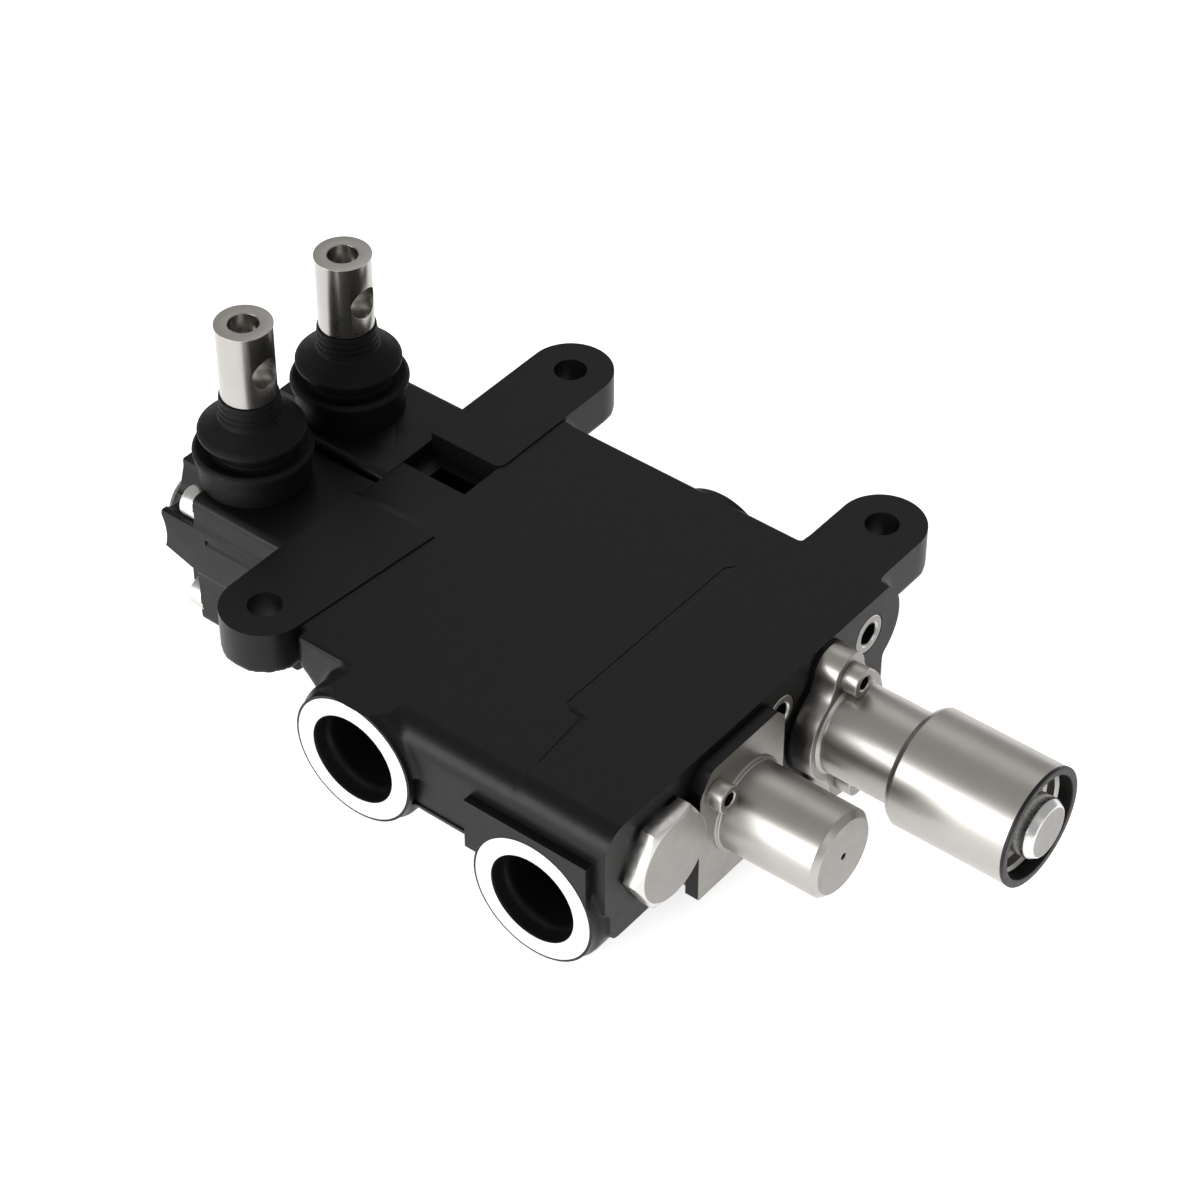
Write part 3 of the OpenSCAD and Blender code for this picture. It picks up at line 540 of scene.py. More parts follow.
def oxide_black_and_socket_shade():
    """Black-oxide steel: near black metal with a dull satin sheen; the same finish paints shade inside the
    hexagon sockets.
    """
    material, tree, shader, place = surface("black_oxide_steel_and_socket_shade", "161617", 0.4, 0.45)
    gloss(tree, shader, grain(tree, place, 1.5), 0.4, 0.5)
    bumped(tree, shader, grain(tree, place, 0.5, 2), 0.01, 0.4)
    return material


def spring_wire():
    """Oiled spring wire: dark drawn steel, glossy along the wire."""
    material, tree, shader, place = surface("oiled_spring_wire", "7d7b78", 1, 0.3)
    gloss(tree, shader, grain(tree, place, 1), 0.24, 0.36)
    return material


FINISHES = {}


def finish(name):
    """The shared finish of that name, made on first use."""
    colours = bpy.context.scene.valve_colours
    makers = {
        "enamel": black_enamel,
        "rubber": nitrile_rubber,
        "steel_x": lambda: turned_steel("turned_cap_steel", colours.steel, 0.34, 0.5, "X"),
        "stem": lambda: turned_steel("ground_stem_steel", colours.stem, 0.26, 0.4, "Z", 0.003),
        "screw": lambda: turned_steel("screw_steel", lighter(colours.steel, 1.02), 0.38, 0.4, "X"),
        "spool": lambda: turned_steel("honed_spool_steel", "c9c9ca", 0.16, 0.4, "X", 0.002),
        "painted_end_shade": end_steel_painted_shade,
        "face": machined_face,
        "zinc": zinc_plate,
        "chrome": chrome,
        "oxide": oxide_black_and_socket_shade,
        "wire": spring_wire,
    }
    if name not in FINISHES:
        FINISHES[name] = makers[name]()
    return FINISHES[name]


# The cast body
OVER = 3  # how far the rough casting stands over the faces that are milled later
END_FILLET = 6  # rounding of the spool block's lower ends
GALLERY_LOW = -29
RING_R = 20.1  # milled ring round a side port
RING_STEP = 0.12  # height of that ring over the boss
PAD1_FAR, PAD2_NEAR = 52.6, 88.2  # ends of the first two raised pads, with the pocket between them


def spool_block():
    """The thick part round both spools, with a slanted lower front edge and rounded lower ends."""
    top = DECK + 0.05
    obj = plate(rounded([
        (21.6, top, 0), (21.6, -41.5, 2), (22.7, -43.5, 0), (30.6, UNDERSIDE, 2.5), (115.4, UNDERSIDE, 5),
        (115.4, top, 0)], closed=True), "X", LEFT_X - OVER, END_X + OVER)
    low = UNDERSIDE + END_FILLET
    for x, way in ((LEFT_X, 1), (END_X, -1)):
        centre = x + way * END_FILLET
        near, beyond = sorted((centre, x + way * 9))
        corner = block((x - 8, 0, -70), (x + 8, 140, low))
        cut(corner, rod((centre, -1, low), (centre, 141, low), END_FILLET),
            block((near, -1, -71), (beyond, 141, low + 1)))
        cut(obj, corner)
    return obj


def port_side(ear_r):
    """The gallery with its long rounded upper edge, the wall beside the first ear and the low end."""
    parts = []
    for start, top in ((58, DECK + 0.05), (101.7, 0.05)):
        gallery = block((start, WALL_Y, GALLERY_LOW), (END_X + OVER, 30, top))
        parts.append(soften(gallery, runs_along("X", y=WALL_Y, z=top), 8, 14))
    parts.append(plate([(15.4, DECK + 0.05), (60, DECK + 0.05), (60, -41), (26, -41), (24.6, -22),
                        (19.8, -15.5), (17, -12.6), (15.4, -12)], "Y", -3.9, 30))
    parts.append(block((ear_r - 1, 1, 1 - EAR_T), (17, 30, OVER)))
    low = block((104, -11, -41), (END_X + OVER, 30, -8))
    parts.append(soften(low, runs_along("X", y=-11, z=-41), 3, 6))
    return parts


def port_bosses():
    """The stepped bosses of the two side ports and the neck of the far one."""
    parts = []
    for (x, z), depth, root_r in ((INLET, 25, 22.2), (OUTLET, 12, 22)):
        parts.append(rod((x, PORT_Y - OVER, z), (x, depth, z), 20.9))
        parts.append(rod((x, -13.4, z), (x, depth, z), root_r))
    x, z = FAR_PORT
    parts.append(rod((x, 110, z), (x, FAR_FACE, z), 16.6))
    return parts


def ears_and_bars(ear_r):
    """The three mounting ears and the bars that carry them."""
    parts = [rod((x, y, -EAR_T), (x, y, OVER), ear_r) for x, y in EARS]
    ear3_x, far = EARS[2]
    bars = [((-ear_r, 0), (ear_r, PAD1_FAR)), ((ear_r - 1, 22), (18.8, PAD1_FAR)),
            ((-ear_r, PAD2_NEAR), (ear_r, far)), ((ear3_x - ear_r, 107), (ear3_x + ear_r, far)),
            ((96, 22), (END_X + OVER, 107))]
    parts += [block((*lo, -EAR_T), (*hi, OVER)) for lo, hi in bars]
    parts.append(block((101.7, -5, -EAR_T), (END_X + OVER, 24, 0.05)))
    return parts


def casting_skin(ear_r):
    """The rough casting, with the outlet's ledge and the far boss's collar left crisp."""
    rail = along_x(LEFT_X - OVER, END_X + OVER, PLUG_YS[1], PLUG_Z, 15)
    skin = cast([spool_block(), rail] + port_side(ear_r) + port_bosses() + ears_and_bars(ear_r))
    ledge_end = 129.8
    ledge = block((87.2, PORT_Y - OVER, GALLERY_LOW), (ledge_end, -5, -11.3))
    soften(ledge, runs_along("Z", x=ledge_end, y=PORT_Y - OVER), 2.6, 6)
    x, z = FAR_PORT
    collar = rod((x, FAR_FACE - 3.6, z), (x, FAR_FACE, z), 19)
    return add(skin, ledge, edge_broken(collar, 0.5))


def port_tool(at):
    """Form tool of a straight-thread O-ring port: mouth, seal step, bore, drill point."""
    mouth, bore, depth = 14.6, 12.45, 17
    return turned([
        (-2, 0), (-2, mouth), (0, mouth), (0.9, mouth - 0.5), (3.4, mouth - 0.6), (4.6, bore + 0.7),
        (5.4, bore + 0.5), (6.6, bore), (depth, bore), (depth + 0.4, bore * 0.8), (depth + 5, 0)], at, "Y")


def prism(points, low, high):
    """An upright prism on a footprint seen from above."""
    return plate(points, "Z", low, high)


# The third raised pad's inner edge, seen from above, and the groove along it.
PAD3_EDGE = [(101.3, -1.6), (100.4, 9.2), (99.4, 19.1), (96.8, 20.2), (94.2, 20.7), (92.5, 22.1), (92.5, 94),
             (102.9, 108)]
SEAM, SEAM_DEPTH = 0.5, 0.22


def raised_pads_cutter():
    """Everything over the main face apart from the raised pads."""
    left, right, near, far = LEFT_X - 12, END_X + 12, -50, 170
    low, high = DECK - 1, 13
    cutter = block((LEFT_X - 10, -40, DECK), (END_X + 10, 160, 12))
    pad1 = [(left, near), (13.3, near), (13.5, -1), (18.15, PAD1_FAR), (left, PAD1_FAR)]
    pad2 = rounded([(left, PAD2_NEAR, 0), (13.45, PAD2_NEAR, 3), (13.45, far, 0), (left, far, 0)],
                   closed=True)
    pad3 = [(102.6, near), (right, near), (right, far), (102.9, far)] + PAD3_EDGE[::-1]
    return cut(cutter, *[prism(pad, low, high) for pad in (pad1, pad2, pad3)])


def seam_groove():
    """The narrow groove along the inner edge of the third pad."""
    inner = [(x + 0.01, y) for x, y in PAD3_EDGE]
    return prism(inner + [(x - SEAM, y + 0.3) for x, y in PAD3_EDGE[::-1]], DECK - SEAM_DEPTH, DECK + 1)


def milling_tools():
    """The planes that the casting is milled to, as one tool."""
    wide, over = 80, 30
    ring_tool = block((-60, PORT_Y - over, -99), (END_X + over, PORT_Y + RING_STEP, over))
    for x, z in (INLET, OUTLET):
        cut(ring_tool, rod((x, PORT_Y, z), (x, PORT_Y + 2, z), RING_R, steps=128))
    return add(block((END_X, -wide, -99), (END_X + over, 200, over)),
               block((LEFT_X - over, -wide, -99), (LEFT_X, 200, over)),
               ring_tool,
               raised_pads_cutter(),
               block((-70, -70, 0), (END_X + over, 190, over)))


def pocket_tools():
    """The pocket between the first two pads: its sloping shelf, its deeper floor and its slot."""
    shelf = plate([(PAD1_FAR, 6), (PAD1_FAR, 0), (57.6, -3), (76, -3), (76, 6)], "X", LEFT_X - 2, 12.6)
    return add(shelf,
               block((LEFT_X - 2, 75, -7.5), (12.6, 88.3, 6)),
               block((-6.7, 78, -13), (9, 84.5, -7)),
               solver="EXACT")


def spool_line(y):
    """A spool bore with seal grooves at both ends, cored chambers and two work ports below."""
    chamber_r, half_width = 12.5, 4.5
    chambers = [10.5 + 25 * k for k in range(5)]
    profile = [(LEFT_X - 5, 0), (LEFT_X - 5, SEAL_R), (LEFT_X + 3, SEAL_R), (LEFT_X + 3, SPOOL_BORE_R)]
    for x in chambers:
        profile += [(x - half_width, SPOOL_BORE_R), (x - half_width, chamber_r),
                    (x + half_width, chamber_r), (x + half_width, SPOOL_BORE_R)]
    profile += [(END_X - 3, SPOOL_BORE_R), (END_X - 3, SEAL_R), (END_X + 5, SEAL_R), (END_X + 5, 0)]
    line = turned(profile, (0, y, SPOOL_Z), steps=72)
    work_port = [(-60, 0), (-60, 17), (-56.2, 17), (-56.2, 11.9), (-53.8, 10.9), (-53.6, 10.2),
                 (-40, 10.2), (-38, 6), (SPOOL_Z, 6), (SPOOL_Z, 0)]
    return add(line, *[turned(work_port, (chambers[k], y, 0), "Z", 72) for k in (1, 3)])


def bore_tools():
    """All bores, ports and bolt holes of the body, as one tool."""
    out = END_X + 5
    tools = []
    for y in (FRONT_Y, REAR_Y):
        tools.append(spool_line(y))
        tools += [along_x(LEFT_X - 5, LEFT_X + 18, *at, HOUSE_HOLE_R, steps=32) for at in house_screws(y)]
    for pair in zip(FRONT_CAP_SCREWS, REAR_CAP_SCREWS):
        tools += [along_x(END_X - 14, out, *at, CAP_HOLE_R, steps=32) for at in pair]
    tools += [along_x(END_X - 44, out, y, PLUG_Z, 6.4, steps=64) for y in PLUG_YS]
    plug = middle("beyond_plug")
    tools.append(along_x(END_X - 10, out, plug.y, plug.z, 13.5))
    tools += [port_tool((x, PORT_Y, z)) for x, z in (INLET, OUTLET)]
    x, z = FAR_PORT
    tools.append(rod((x, 108, z), (x, 140, z), 13.25))
    tools += [rod((x, y, -EAR_T - 4), (x, y, 4), EAR_HOLE_R, steps=72) for x, y in EARS]
    return joined(*tools)


def body_piece():
    """The casting after all machining, thinned where it is flat."""
    obj = casting_skin(bpy.context.scene.valve_sizes.ear_radius / MM)
    wall_panel = block((66.5, -15, -27.3), (87.2, -13.15, -16.8))
    cut(obj, milling_tools(), wall_panel, seam_groove(), pocket_tools(), bore_tools())
    apply(obj, "DECIMATE", decimate_type="DISSOLVE", angle_limit=math.radians(0.7))
    apply(obj, "TRIANGULATE", quad_method="BEAUTY", ngon_method="BEAUTY")
    return obj


def inlaid(obj, other, chosen):
    """Gives the faces for which chosen(middle in millimetres, normal) is true another finish."""
    obj.data.materials.append(finish(other))
    count = 0
    for poly in obj.data.polygons:
        if chosen(poly.center / MM, poly.normal):
            poly.material_index = len(obj.data.materials) - 1
            count += 1
    if not count:
        raise RuntimeError(f"no face of {obj.name} took its second finish")
    return obj


def painted_end_shade(obj):
    """Gives the faces that look along +X the darker steel: painted shade on the ends."""
    return inlaid(obj, "painted_end_shade", lambda c, n: n.x > 0.9)


def socket_faces_for_painted_shade(places, seat_x, sizes, way=1):
    """A test for the faces inside the hexagon sockets of heads that stand on seat_x at (y, z) places; these
    faces take the near black finish as painted shade.
    """
    key, face_x = sizes["key"], seat_x + way * sizes["head_h"]
    reach = key / math.sqrt(3) + 0.02
    return lambda c, n: 0.4 < way * (face_x - c.x) < key and any(
        math.hypot(c.y - y, c.z - z) < reach for y, z in places)


class VALVE_OT_body(bpy.types.Operator):
    """Casts and machines the valve body"""

    bl_idname = "valve.body"
    bl_label = "Body casting"

    def execute(self, context):
        obj = body_piece()
        finished(obj, "valve_body", "enamel", "body", 38)
        # the rings round the two side ports stand a hair proud and are left bare
        inlaid(obj, "face", lambda c, n: n.y < -0.99 and abs(c.y - PORT_Y) < RING_STEP / 2)
        apply(obj, "WEIGHTED_NORMAL", keep_sharp=True, mode="FACE_AREA", weight=80)
        return {"FINISHED"}


# Lever housings
def housing(y):
    """A lever housing on the spool line y: ribbed walls, notched end, collar for the boot."""
    w, top, low = 21.2, -2.8, -51.4
    rib_start, foot_w = -46.2, 20.6

    def length(points, start, stop):
        """A stretch of the housing whose section is the points and their mirror image."""
        section = points + [(-u, v, r) for u, v, r in reversed(points)]
        return plate([(u + y, v) for u, v in rounded(section, closed=True)], "X", start, stop)

    rib = [(14.8, top, 0), (20.5, top, 5.6), (20.5, -12.4, 0.6), (w, -13.2, 0.5)]
    groove = [(w, -15.8, 0.3), (foot_w, -16.3, 0.3), (foot_w, -17.3, 0.3), (w, -17.9, 0.4)]
    foot = [(w, -30.6, 0.8), (foot_w, -31.8, 0.8), (foot_w, low, 6), (14, low, 0)]
    main = length(rib + groove + foot, rib_start, LEFT_X)
    start = length(rib + foot, HOUSE_SEAT, rib_start + 0.2)
    seat = HOUSE_SEAT + 0.2
    ears = length([(7, -13.2, 0), (w, -13.2, 0.8), (w, -30.6, 0.8), (7, -31, 0)], HOUSE_EARS_X, seat)
    centre = length([(7, top, 0), (8.4, top, 1.2), (8.4, -5.5, 2), (10.2, -11.4, 4.5), (12, -13.4, 0),
                     (12, -31.2, 0), (8.6, -37, 4), (8.6, low, 2), (7, low, 0)], COVER_X, seat)
    scoop_x = HOUSE_EARS_X - 14.6
    scoop = rod((scoop_x, y - 40, -21.6), (scoop_x, y + 40, -21.6), 16)
    # the ears' undersides rise towards the end
    under = [(-64.6, -31.6), (-64.6, -26.6), (-63.6, -26.6), (-50.2, -30.7), (-50.2, -31.6)]
    cut(ears, scoop, plate(under, "Y", y - 25, y - 10), plate(under, "Y", y + 10, y + 25))
    obj = add(main, start, ears, centre, rod((STEM_X, y, -6), (STEM_X, y, 6), 14.6))
    cut(obj, along_x(-80, 0, y, SPOOL_Z, 10.5),
        rod((STEM_X, y, SPOOL_Z), (STEM_X, y, 9), 11.5),
        rod((STEM_X, y - 20, PIVOT_Z), (STEM_X, y + 20, PIVOT_Z), PIVOT_HOLE_R, steps=48))
    for at in house_screws(y):
        cut(obj, along_x(-70, 0, *at, HOUSE_HOLE_R, steps=32), along_x(-70, -50, *at, 5.5, steps=64))
    return edge_broken(obj, 0.3, 40, 2)


def end_cover(y):
    """A hollow dished cover on a housing's outer end; the spool's end moves into it."""
    return turned(rounded([
        (-71.5, 0, 0), (-71.5, 9, 0.5), (-58.6, 9, 0), (-58.6, 10.35, 0.4), (COVER_X, 10.35, 0),
        (COVER_X, 12.4, 0.3), (-69.8, 12.4, 2.8), (-73.5, 9, 2.5), (-73.5, 4, 1), (-72.6, 3.2, 0.6),
        (-72.6, 0, 0)]), (0, y, SPOOL_Z))


class VALVE_OT_housings(bpy.types.Operator):
    """Models the two lever housings and their end covers"""

    bl_idname = "valve.housings"
    bl_label = "Lever housings"

    def execute(self, context):
        for y, which in SPOOL_LINES:
            finished(housing(y), f"lever_housing_{which}", "enamel", f"house_{which}", 35)
        covers = [end_cover(y) for y in (FRONT_Y, REAR_Y)]
        finished(joined(*covers), "housing_end_covers", "oxide", "house_caps")
        return {"FINISHED"}


# Boots
BOOT_PROFILE = [
    # height over the pads, radius, fillet: outer skin from the foot upwards, then back inside
    (-2.8, 14.8, 0), (-2.8, 16.7, 0.5), (5.5, 17.0, 0.3), (6.1, 17.9, 0.5), (8.4, 18.3, 1.2),
    (9.6, 17.0, 0.8), (7.6, 13.2, 1.2), (8.2, 11.5, 0.8), (12.6, 11.3, 0.5), (13.6, 12.5, 0.5),
    (14.0, 15.7, 0.4), (14.6, 16.2, 0.5), (15.6, 16.2, 0.5), (16.5, 15.3, 1.0), (20.1, 10.0, 1.0),
    (20.5, 9.7, 0.2), (21.6, 9.6, 0.2), (21.9, 9.15, 0.1), (22.2, 9.4, 0.2), (23.6, 9.4, 0.2),
    (23.95, 8.9, 0.1), (24.3, 9.3, 0.2), (25.6, 9.25, 0.2), (25.9, 8.95, 0.1), (26.2, 9.15, 0.15),
    (27.9, 9.0, 0.3),
    (28.0, 8.55, 0), (24.0, 6.45, 0.6), (20.4, 6.45, 1), (19.0, 8.4, 1.5), (17.0, 11.8, 1.5),
    (15.3, 14.4, 0.6), (13.6, 11.0, 0.6), (12.0, 10.3, 0.5), (8.4, 10.4, 0.5), (6.9, 11.6, 0.4),
    (6.4, 12.4, 0.2), (6.4, 14.8, 0), (-2.8, 14.8, 0)]


class VALVE_OT_boots(bpy.types.Operator):
    """Moulds the two rubber bellows boots"""

    bl_idname = "valve.boots"
    bl_label = "Bellows boots"

    def execute(self, context):
        for y, which in SPOOL_LINES:
            obj = turned(rounded(BOOT_PROFILE, 5), (STEM_X, y, 0), "Z")
            coated(obj, f"bellows_boot_{which}", "rubber", 50)
            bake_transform(obj)
            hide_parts(f"boot_{which}")
        return {"FINISHED"}


# Levers
STEM_L = 52.3  # from the pivot to the stem's top
CROSS_HOLE_Z, CROSS_HOLE_R = 39.1, 5


def lever(y):
    """Stem with axial socket and cross hole, pivot boss and ball arm."""
    r = bpy.context.scene.valve_sizes.stem_radius / MM
    top, arm = STEM_L, PIVOT_Z - SPOOL_Z
    stem = turned(rounded([
        (0, 0, 0), (0, 6, 0), (top - 28.8, 6, 1), (top - 25.5, r - 0.3, 0.3), (top - 25, r, 0.2),
        (top - 0.7, r, 0.1), (top - 0.5, r + 0.25, 0.1), (top, r + 0.25, 0.1), (top, 4.9, 0.1),
        (top - 0.3, 4.6, 0.1), (top - 9.2, 4.6, 0.3), (top - 11, 0, 0)]),
        (STEM_X, y, PIVOT_Z), "Z")
    arm_piece = turned(rounded([
        (0.5, 0, 0), (0.5, 5, 0), (-10, 5, 1), (-14, 3.2, 1), (-arm + 3, 2.6, 0.4), (-arm + 2.4, 3.2, 0.3),
        (-arm, 4, 3.6), (-arm - 3.2, 2.4, 2), (-arm - 4, 0, 0)]), (STEM_X, y, PIVOT_Z), "Z", 64)
    obj = add(stem, arm_piece, rod((STEM_X, y - 8, PIVOT_Z), (STEM_X, y + 8, PIVOT_Z), 7.5))
    cut(obj, rod((STEM_X, y - 9, PIVOT_Z), (STEM_X, y + 9, PIVOT_Z), 3.04, steps=48),
        rod((STEM_X - 12, y, CROSS_HOLE_Z), (STEM_X + 12, y, CROSS_HOLE_Z), CROSS_HOLE_R, steps=64))
    return edge_broken(obj, 0.25, 35, 2)


class VALVE_OT_levers(bpy.types.Operator):
    """Turns and drills the two lever stems"""

    bl_idname = "valve.levers"
    bl_label = "Lever stems"

    def execute(self, context):
        for y, which in SPOOL_LINES:
            finished(lever(y), f"lever_stem_{which}", "stem", f"lever_{which}", 35,
                     body=f"{which}_lever")
        return {"FINISHED"}


# Screws
HOUSE_SCREW = {"shank_r": 4, "length": 54, "head_r": 5, "head_h": 6, "key": 5}
FRONT_CAP_SCREW = {"shank_r": 2.5, "length": 16, "head_r": 4.3, "head_h": 5, "key": 4}
REAR_CAP_SCREW = {"shank_r": 2.5, "length": 16, "head_r": 4.6, "head_h": 5.2, "key": 4}


def cap_screw(seat_x, y, z, way, shank_r, length, head_r, head_h, key):
    """A socket cap screw whose head points along X in the direction of way."""
    outline = rounded([
        (-length, 0, 0), (-length, shank_r - 0.4, 0), (-length + 0.5, shank_r, 0), (0, shank_r, 0),
        (0, head_r, 0.2), (head_h, head_r, 0.4), (head_h, key * 0.66, 0.1), (head_h - 0.3, key * 0.577, 0),
        (head_h - 0.3, 0, 0)], 4)
    obj = turned([(s * way, r) for s, r in outline], (seat_x, y, z), "X", 48)
    reach = sorted((seat_x + way * head_h * 0.45, seat_x + way * (head_h + 1)))
    hexagon = along_x(*reach, y, z, key / math.sqrt(3), steps=6)
    return cut(obj, hexagon, solver="EXACT")


def screw_set(places, seat_x, way, sizes):
    return [cap_screw(seat_x, *at, way, **sizes) for at in places]


class VALVE_OT_screws(bpy.types.Operator):
    """Turns the socket cap screws of the housings and of the caps"""

    bl_idname = "valve.screws"
    bl_label = "Cap screws"

    def execute(self, context):
        house = house_screws(FRONT_Y) + house_screws(REAR_Y)
        big = joined(*screw_set(house, HOUSE_SEAT, -1, HOUSE_SCREW))
        finished(big, "housing_cap_screws", "zinc", "house_screws")
        # the faces inside the sockets take the near black finish: painted shade
        inlaid(big, "oxide", socket_faces_for_painted_shade(house, HOUSE_SEAT, HOUSE_SCREW, -1))
        caps = ((FRONT_CAP_SCREWS, PLATE_X, FRONT_CAP_SCREW), (REAR_CAP_SCREWS, TUBE_X, REAR_CAP_SCREW))
        small = joined(*[screw for places, seat_x, sizes in caps
                         for screw in screw_set(places, seat_x, 1, sizes)])
        finished(small, "end_cap_screws", "screw", "cap_screws")
        # the screw heads' ends take the darker steel: painted shade
        painted_end_shade(small)
        # the faces inside the sockets take the near black finish: painted shade
        for places, seat_x, sizes in caps:
            inlaid(small, "oxide", socket_faces_for_painted_shade(places, seat_x, sizes))
        return {"FINISHED"}


# End caps
# The front cap's plate seen along X, and the front cap's end.
PLATE_Y = (22.3, 60.8)
PLATE_Z = (-49.2, -2.5)
FRONT_END_X = 172


def front_cap():
    """A closed tube on a plate with two cut corners, vented through its end."""
    at = (0, FRONT_Y, SPOOL_Z)
    (near, far), (low, top) = PLATE_Y, PLATE_Z
    flange = plate(rounded([(near, low, 0.6), (far, low, 3.6), (far, -6.4, 1.2), (57.4, top, 1.2),
                            (27.4, top, 3), (near, -9.6, 4.5)], 8, True), "X", END_X, PLATE_X)
    tube = turned(rounded([
        (END_X + 1, 0, 0), (END_X + 1, 15, 0), (PLATE_X, 15, 0.1), (PLATE_X + 0.6, 14.9, 0.3),
        (PLATE_X + 1, 13.85, 0.4), (FRONT_END_X - 1.8, 13.7, 0.5), (FRONT_END_X, 11.9, 0.4),
        (FRONT_END_X, 0, 0)], 6), at)
    obj = add(flange, tube)
    cut(obj, turned([(END_X - 1, 0), (END_X - 1, 11.2), (169, 11.2), (169, 0)], at),
        along_x(160, 175, FRONT_Y, SPOOL_Z, 1.1, steps=24))
    for at in FRONT_CAP_SCREWS:
        cut(obj, along_x(END_X - 1, PLATE_X + 8, *at, CAP_HOLE_R, steps=32),
            along_x(PLATE_X, PLATE_X + 8, *at, 4.6, steps=48))
    return edge_broken(obj, 0.25, 40, 3)


def plate_rim_for_painted_reflection(centre, normal):
    """True for the faces round the plate's rim, which take the black enamel as a painted dark reflection
    along its edges.
    """
    if centre.x >= PLATE_X - 0.3 or abs(normal.x) >= 0.3:
        return False
    gaps = [abs(centre.y - y) for y in PLATE_Y] + [abs(centre.z - z) for z in PLATE_Z]
    return min(gaps) < 0.05 or math.hypot(centre.y - FRONT_Y, centre.z - SPOOL_Z) > 24.4


class VALVE_OT_front_cap(bpy.types.Operator):
    """Turns the front spool cap on its plate flange"""

    bl_idname = "valve.front_cap"
    bl_label = "Front spool cap"

    def execute(self, context):
        obj = finished(front_cap(), "spool_cap_front", "steel_x", "cap_front", 40)
        # the cap's end takes the darker steel: painted shade
        painted_end_shade(obj)
        # the plate's rim takes the black enamel: a painted dark reflection
        inlaid(obj, "enamel", plate_rim_for_painted_reflection)
        return {"FINISHED"}


def lobed(r, lobe, reach, steps=10):
    """Outline of the two-lobed rear flange: a round middle and a lobe above and below."""
    half = []
    for k in range(steps * 2 + 1):
        t = math.pi * k / (steps * 2)
        half.append((lobe * math.cos(t), reach + lobe * math.sin(t)))
    side = []
    join = math.asin(lobe / r)
    for k in range(1, steps * 2):
        t = math.pi / 2 + join + (math.pi - 2 * join) * k / (steps * 2)
        side.append((r * math.cos(t), r * math.sin(t)))
    upper = half + side
    return upper + [(-u, -v) for u, v in upper]


def lobed_plate(r, lobe, start, stop):
    """A plate on the rear cap's outline between two places along X."""
    outline = [(u + REAR_Y, v + SPOOL_Z) for u, v in lobed(r, lobe, 19.3)]
    return plate(outline, "X", start, stop)


def rear_gasket():
    """The sheet gasket, a little larger all round than the flange on it."""
    ends = (END_X - 1, GASKET_X + 1)
    gasket = cut(lobed_plate(18.15, 7.7, END_X, GASKET_X), along_x(*ends, REAR_Y, SPOOL_Z, CAP_BORE_R))
    return cut(gasket, *[along_x(*ends, *at, CAP_HOLE_R, steps=32) for at in REAR_CAP_SCREWS])


def rear_cap():
    """The open tube on its two-lobed flange."""
    flange = edge_broken(lobed_plate(17.65, 7.2, GASKET_X, TUBE_X), 0.3, 60, 3)
    tube = turned(rounded([
        (GASKET_X + 1, 0, 0), (GASKET_X + 1, 15.6, 0), (TUBE_X - 0.1, 15.4, 0.1), (TUBE_X + 0.9, 14.45, 0.8),
        (170, 14.45, 0), (170, 0, 0)]), (0, REAR_Y, SPOOL_Z))
    obj = add(flange, tube)
    cut(obj, along_x(END_X - 3, 175, REAR_Y, SPOOL_Z, CAP_BORE_R))
    for at in REAR_CAP_SCREWS:
        cut(obj, along_x(END_X - 1, TUBE_X + 8, *at, CAP_HOLE_R, steps=32),
            along_x(TUBE_X, TUBE_X + 9, *at, 4.8, steps=48))
    return obj


# Profiles (place along X, radius, fillet) round the rear spool line.
SLEEVE_PROFILE = [
    (167, 14.5, 0), (167, 16.0, 0.3), (168.0, 17.5, 0.8), (169.6, 18.5, 0.8), (207, 18.5, 0), (207, 17, 0),
    (203.6, 17, 0), (203.6, 16.2, 0), (202.8, 15.2, 0.2), (200.4, 15.2, 0.4), (199.6, 14.2, 0.3),
    (194.6, 14.2, 0.6), (194.5, 6, 0), (191.6, 6, 0), (191.6, 12.95, 0), (172, 12.95, 0), (172, 14.5, 0),
    (167, 14.5, 0)]
RING_PROFILE = [
    (203.7, 16.2, 0), (203.7, 16.95, 0), (207.05, 16.95, 0), (207.05, 18.65, 0.1), (208.1, 18.65, 0.3),
    (208.1, 16.2, 0.3), (203.7, 16.2, 0)]
BUTTON_PROFILE = [(202.5, 0, 0), (202.5, 9.4, 0.4), (208.6, 9.4, 1.7), (210.9, 8, 1), (210.9, 0, 0)]


class VALVE_OT_rear_cap(bpy.types.Operator):
    """Turns the rear cap, its gasket, the detent sleeve, the black end ring and the button"""

    bl_idname = "valve.rear_cap"
    bl_label = "Rear cap and detent sleeve"

    def execute(self, context):
        at = (0, REAR_Y, SPOOL_Z)
        finished(rear_gasket(), "cap_gasket_sheet", "rubber", "cap_gasket")
        # the rear cap's end faces take the darker steel: painted shade
        painted_end_shade(finished(rear_cap(), "spool_cap_rear", "steel_x", "cap_rear", 40))
        sleeve = turned(rounded(SLEEVE_PROFILE, 4), at)
        finished(sleeve, "detent_sleeve", "steel_x", "sleeve", 35)
        ring = turned(rounded(RING_PROFILE, 3), at)
        finished(ring, "black_end_ring", "oxide", "end_ring", 35)
        button = turned(rounded(BUTTON_PROFILE, 8), at)
        finished(button, "detent_button", "chrome", "button", 35, body="rear_spool")
        # the button's front face takes the darker steel: painted shade
        inlaid(button, "painted_end_shade", lambda c, n: n.x > 0.97)
        apply(button, "WEIGHTED_NORMAL", keep_sharp=True, mode="FACE_AREA", weight=90)
        return {"FINISHED"}


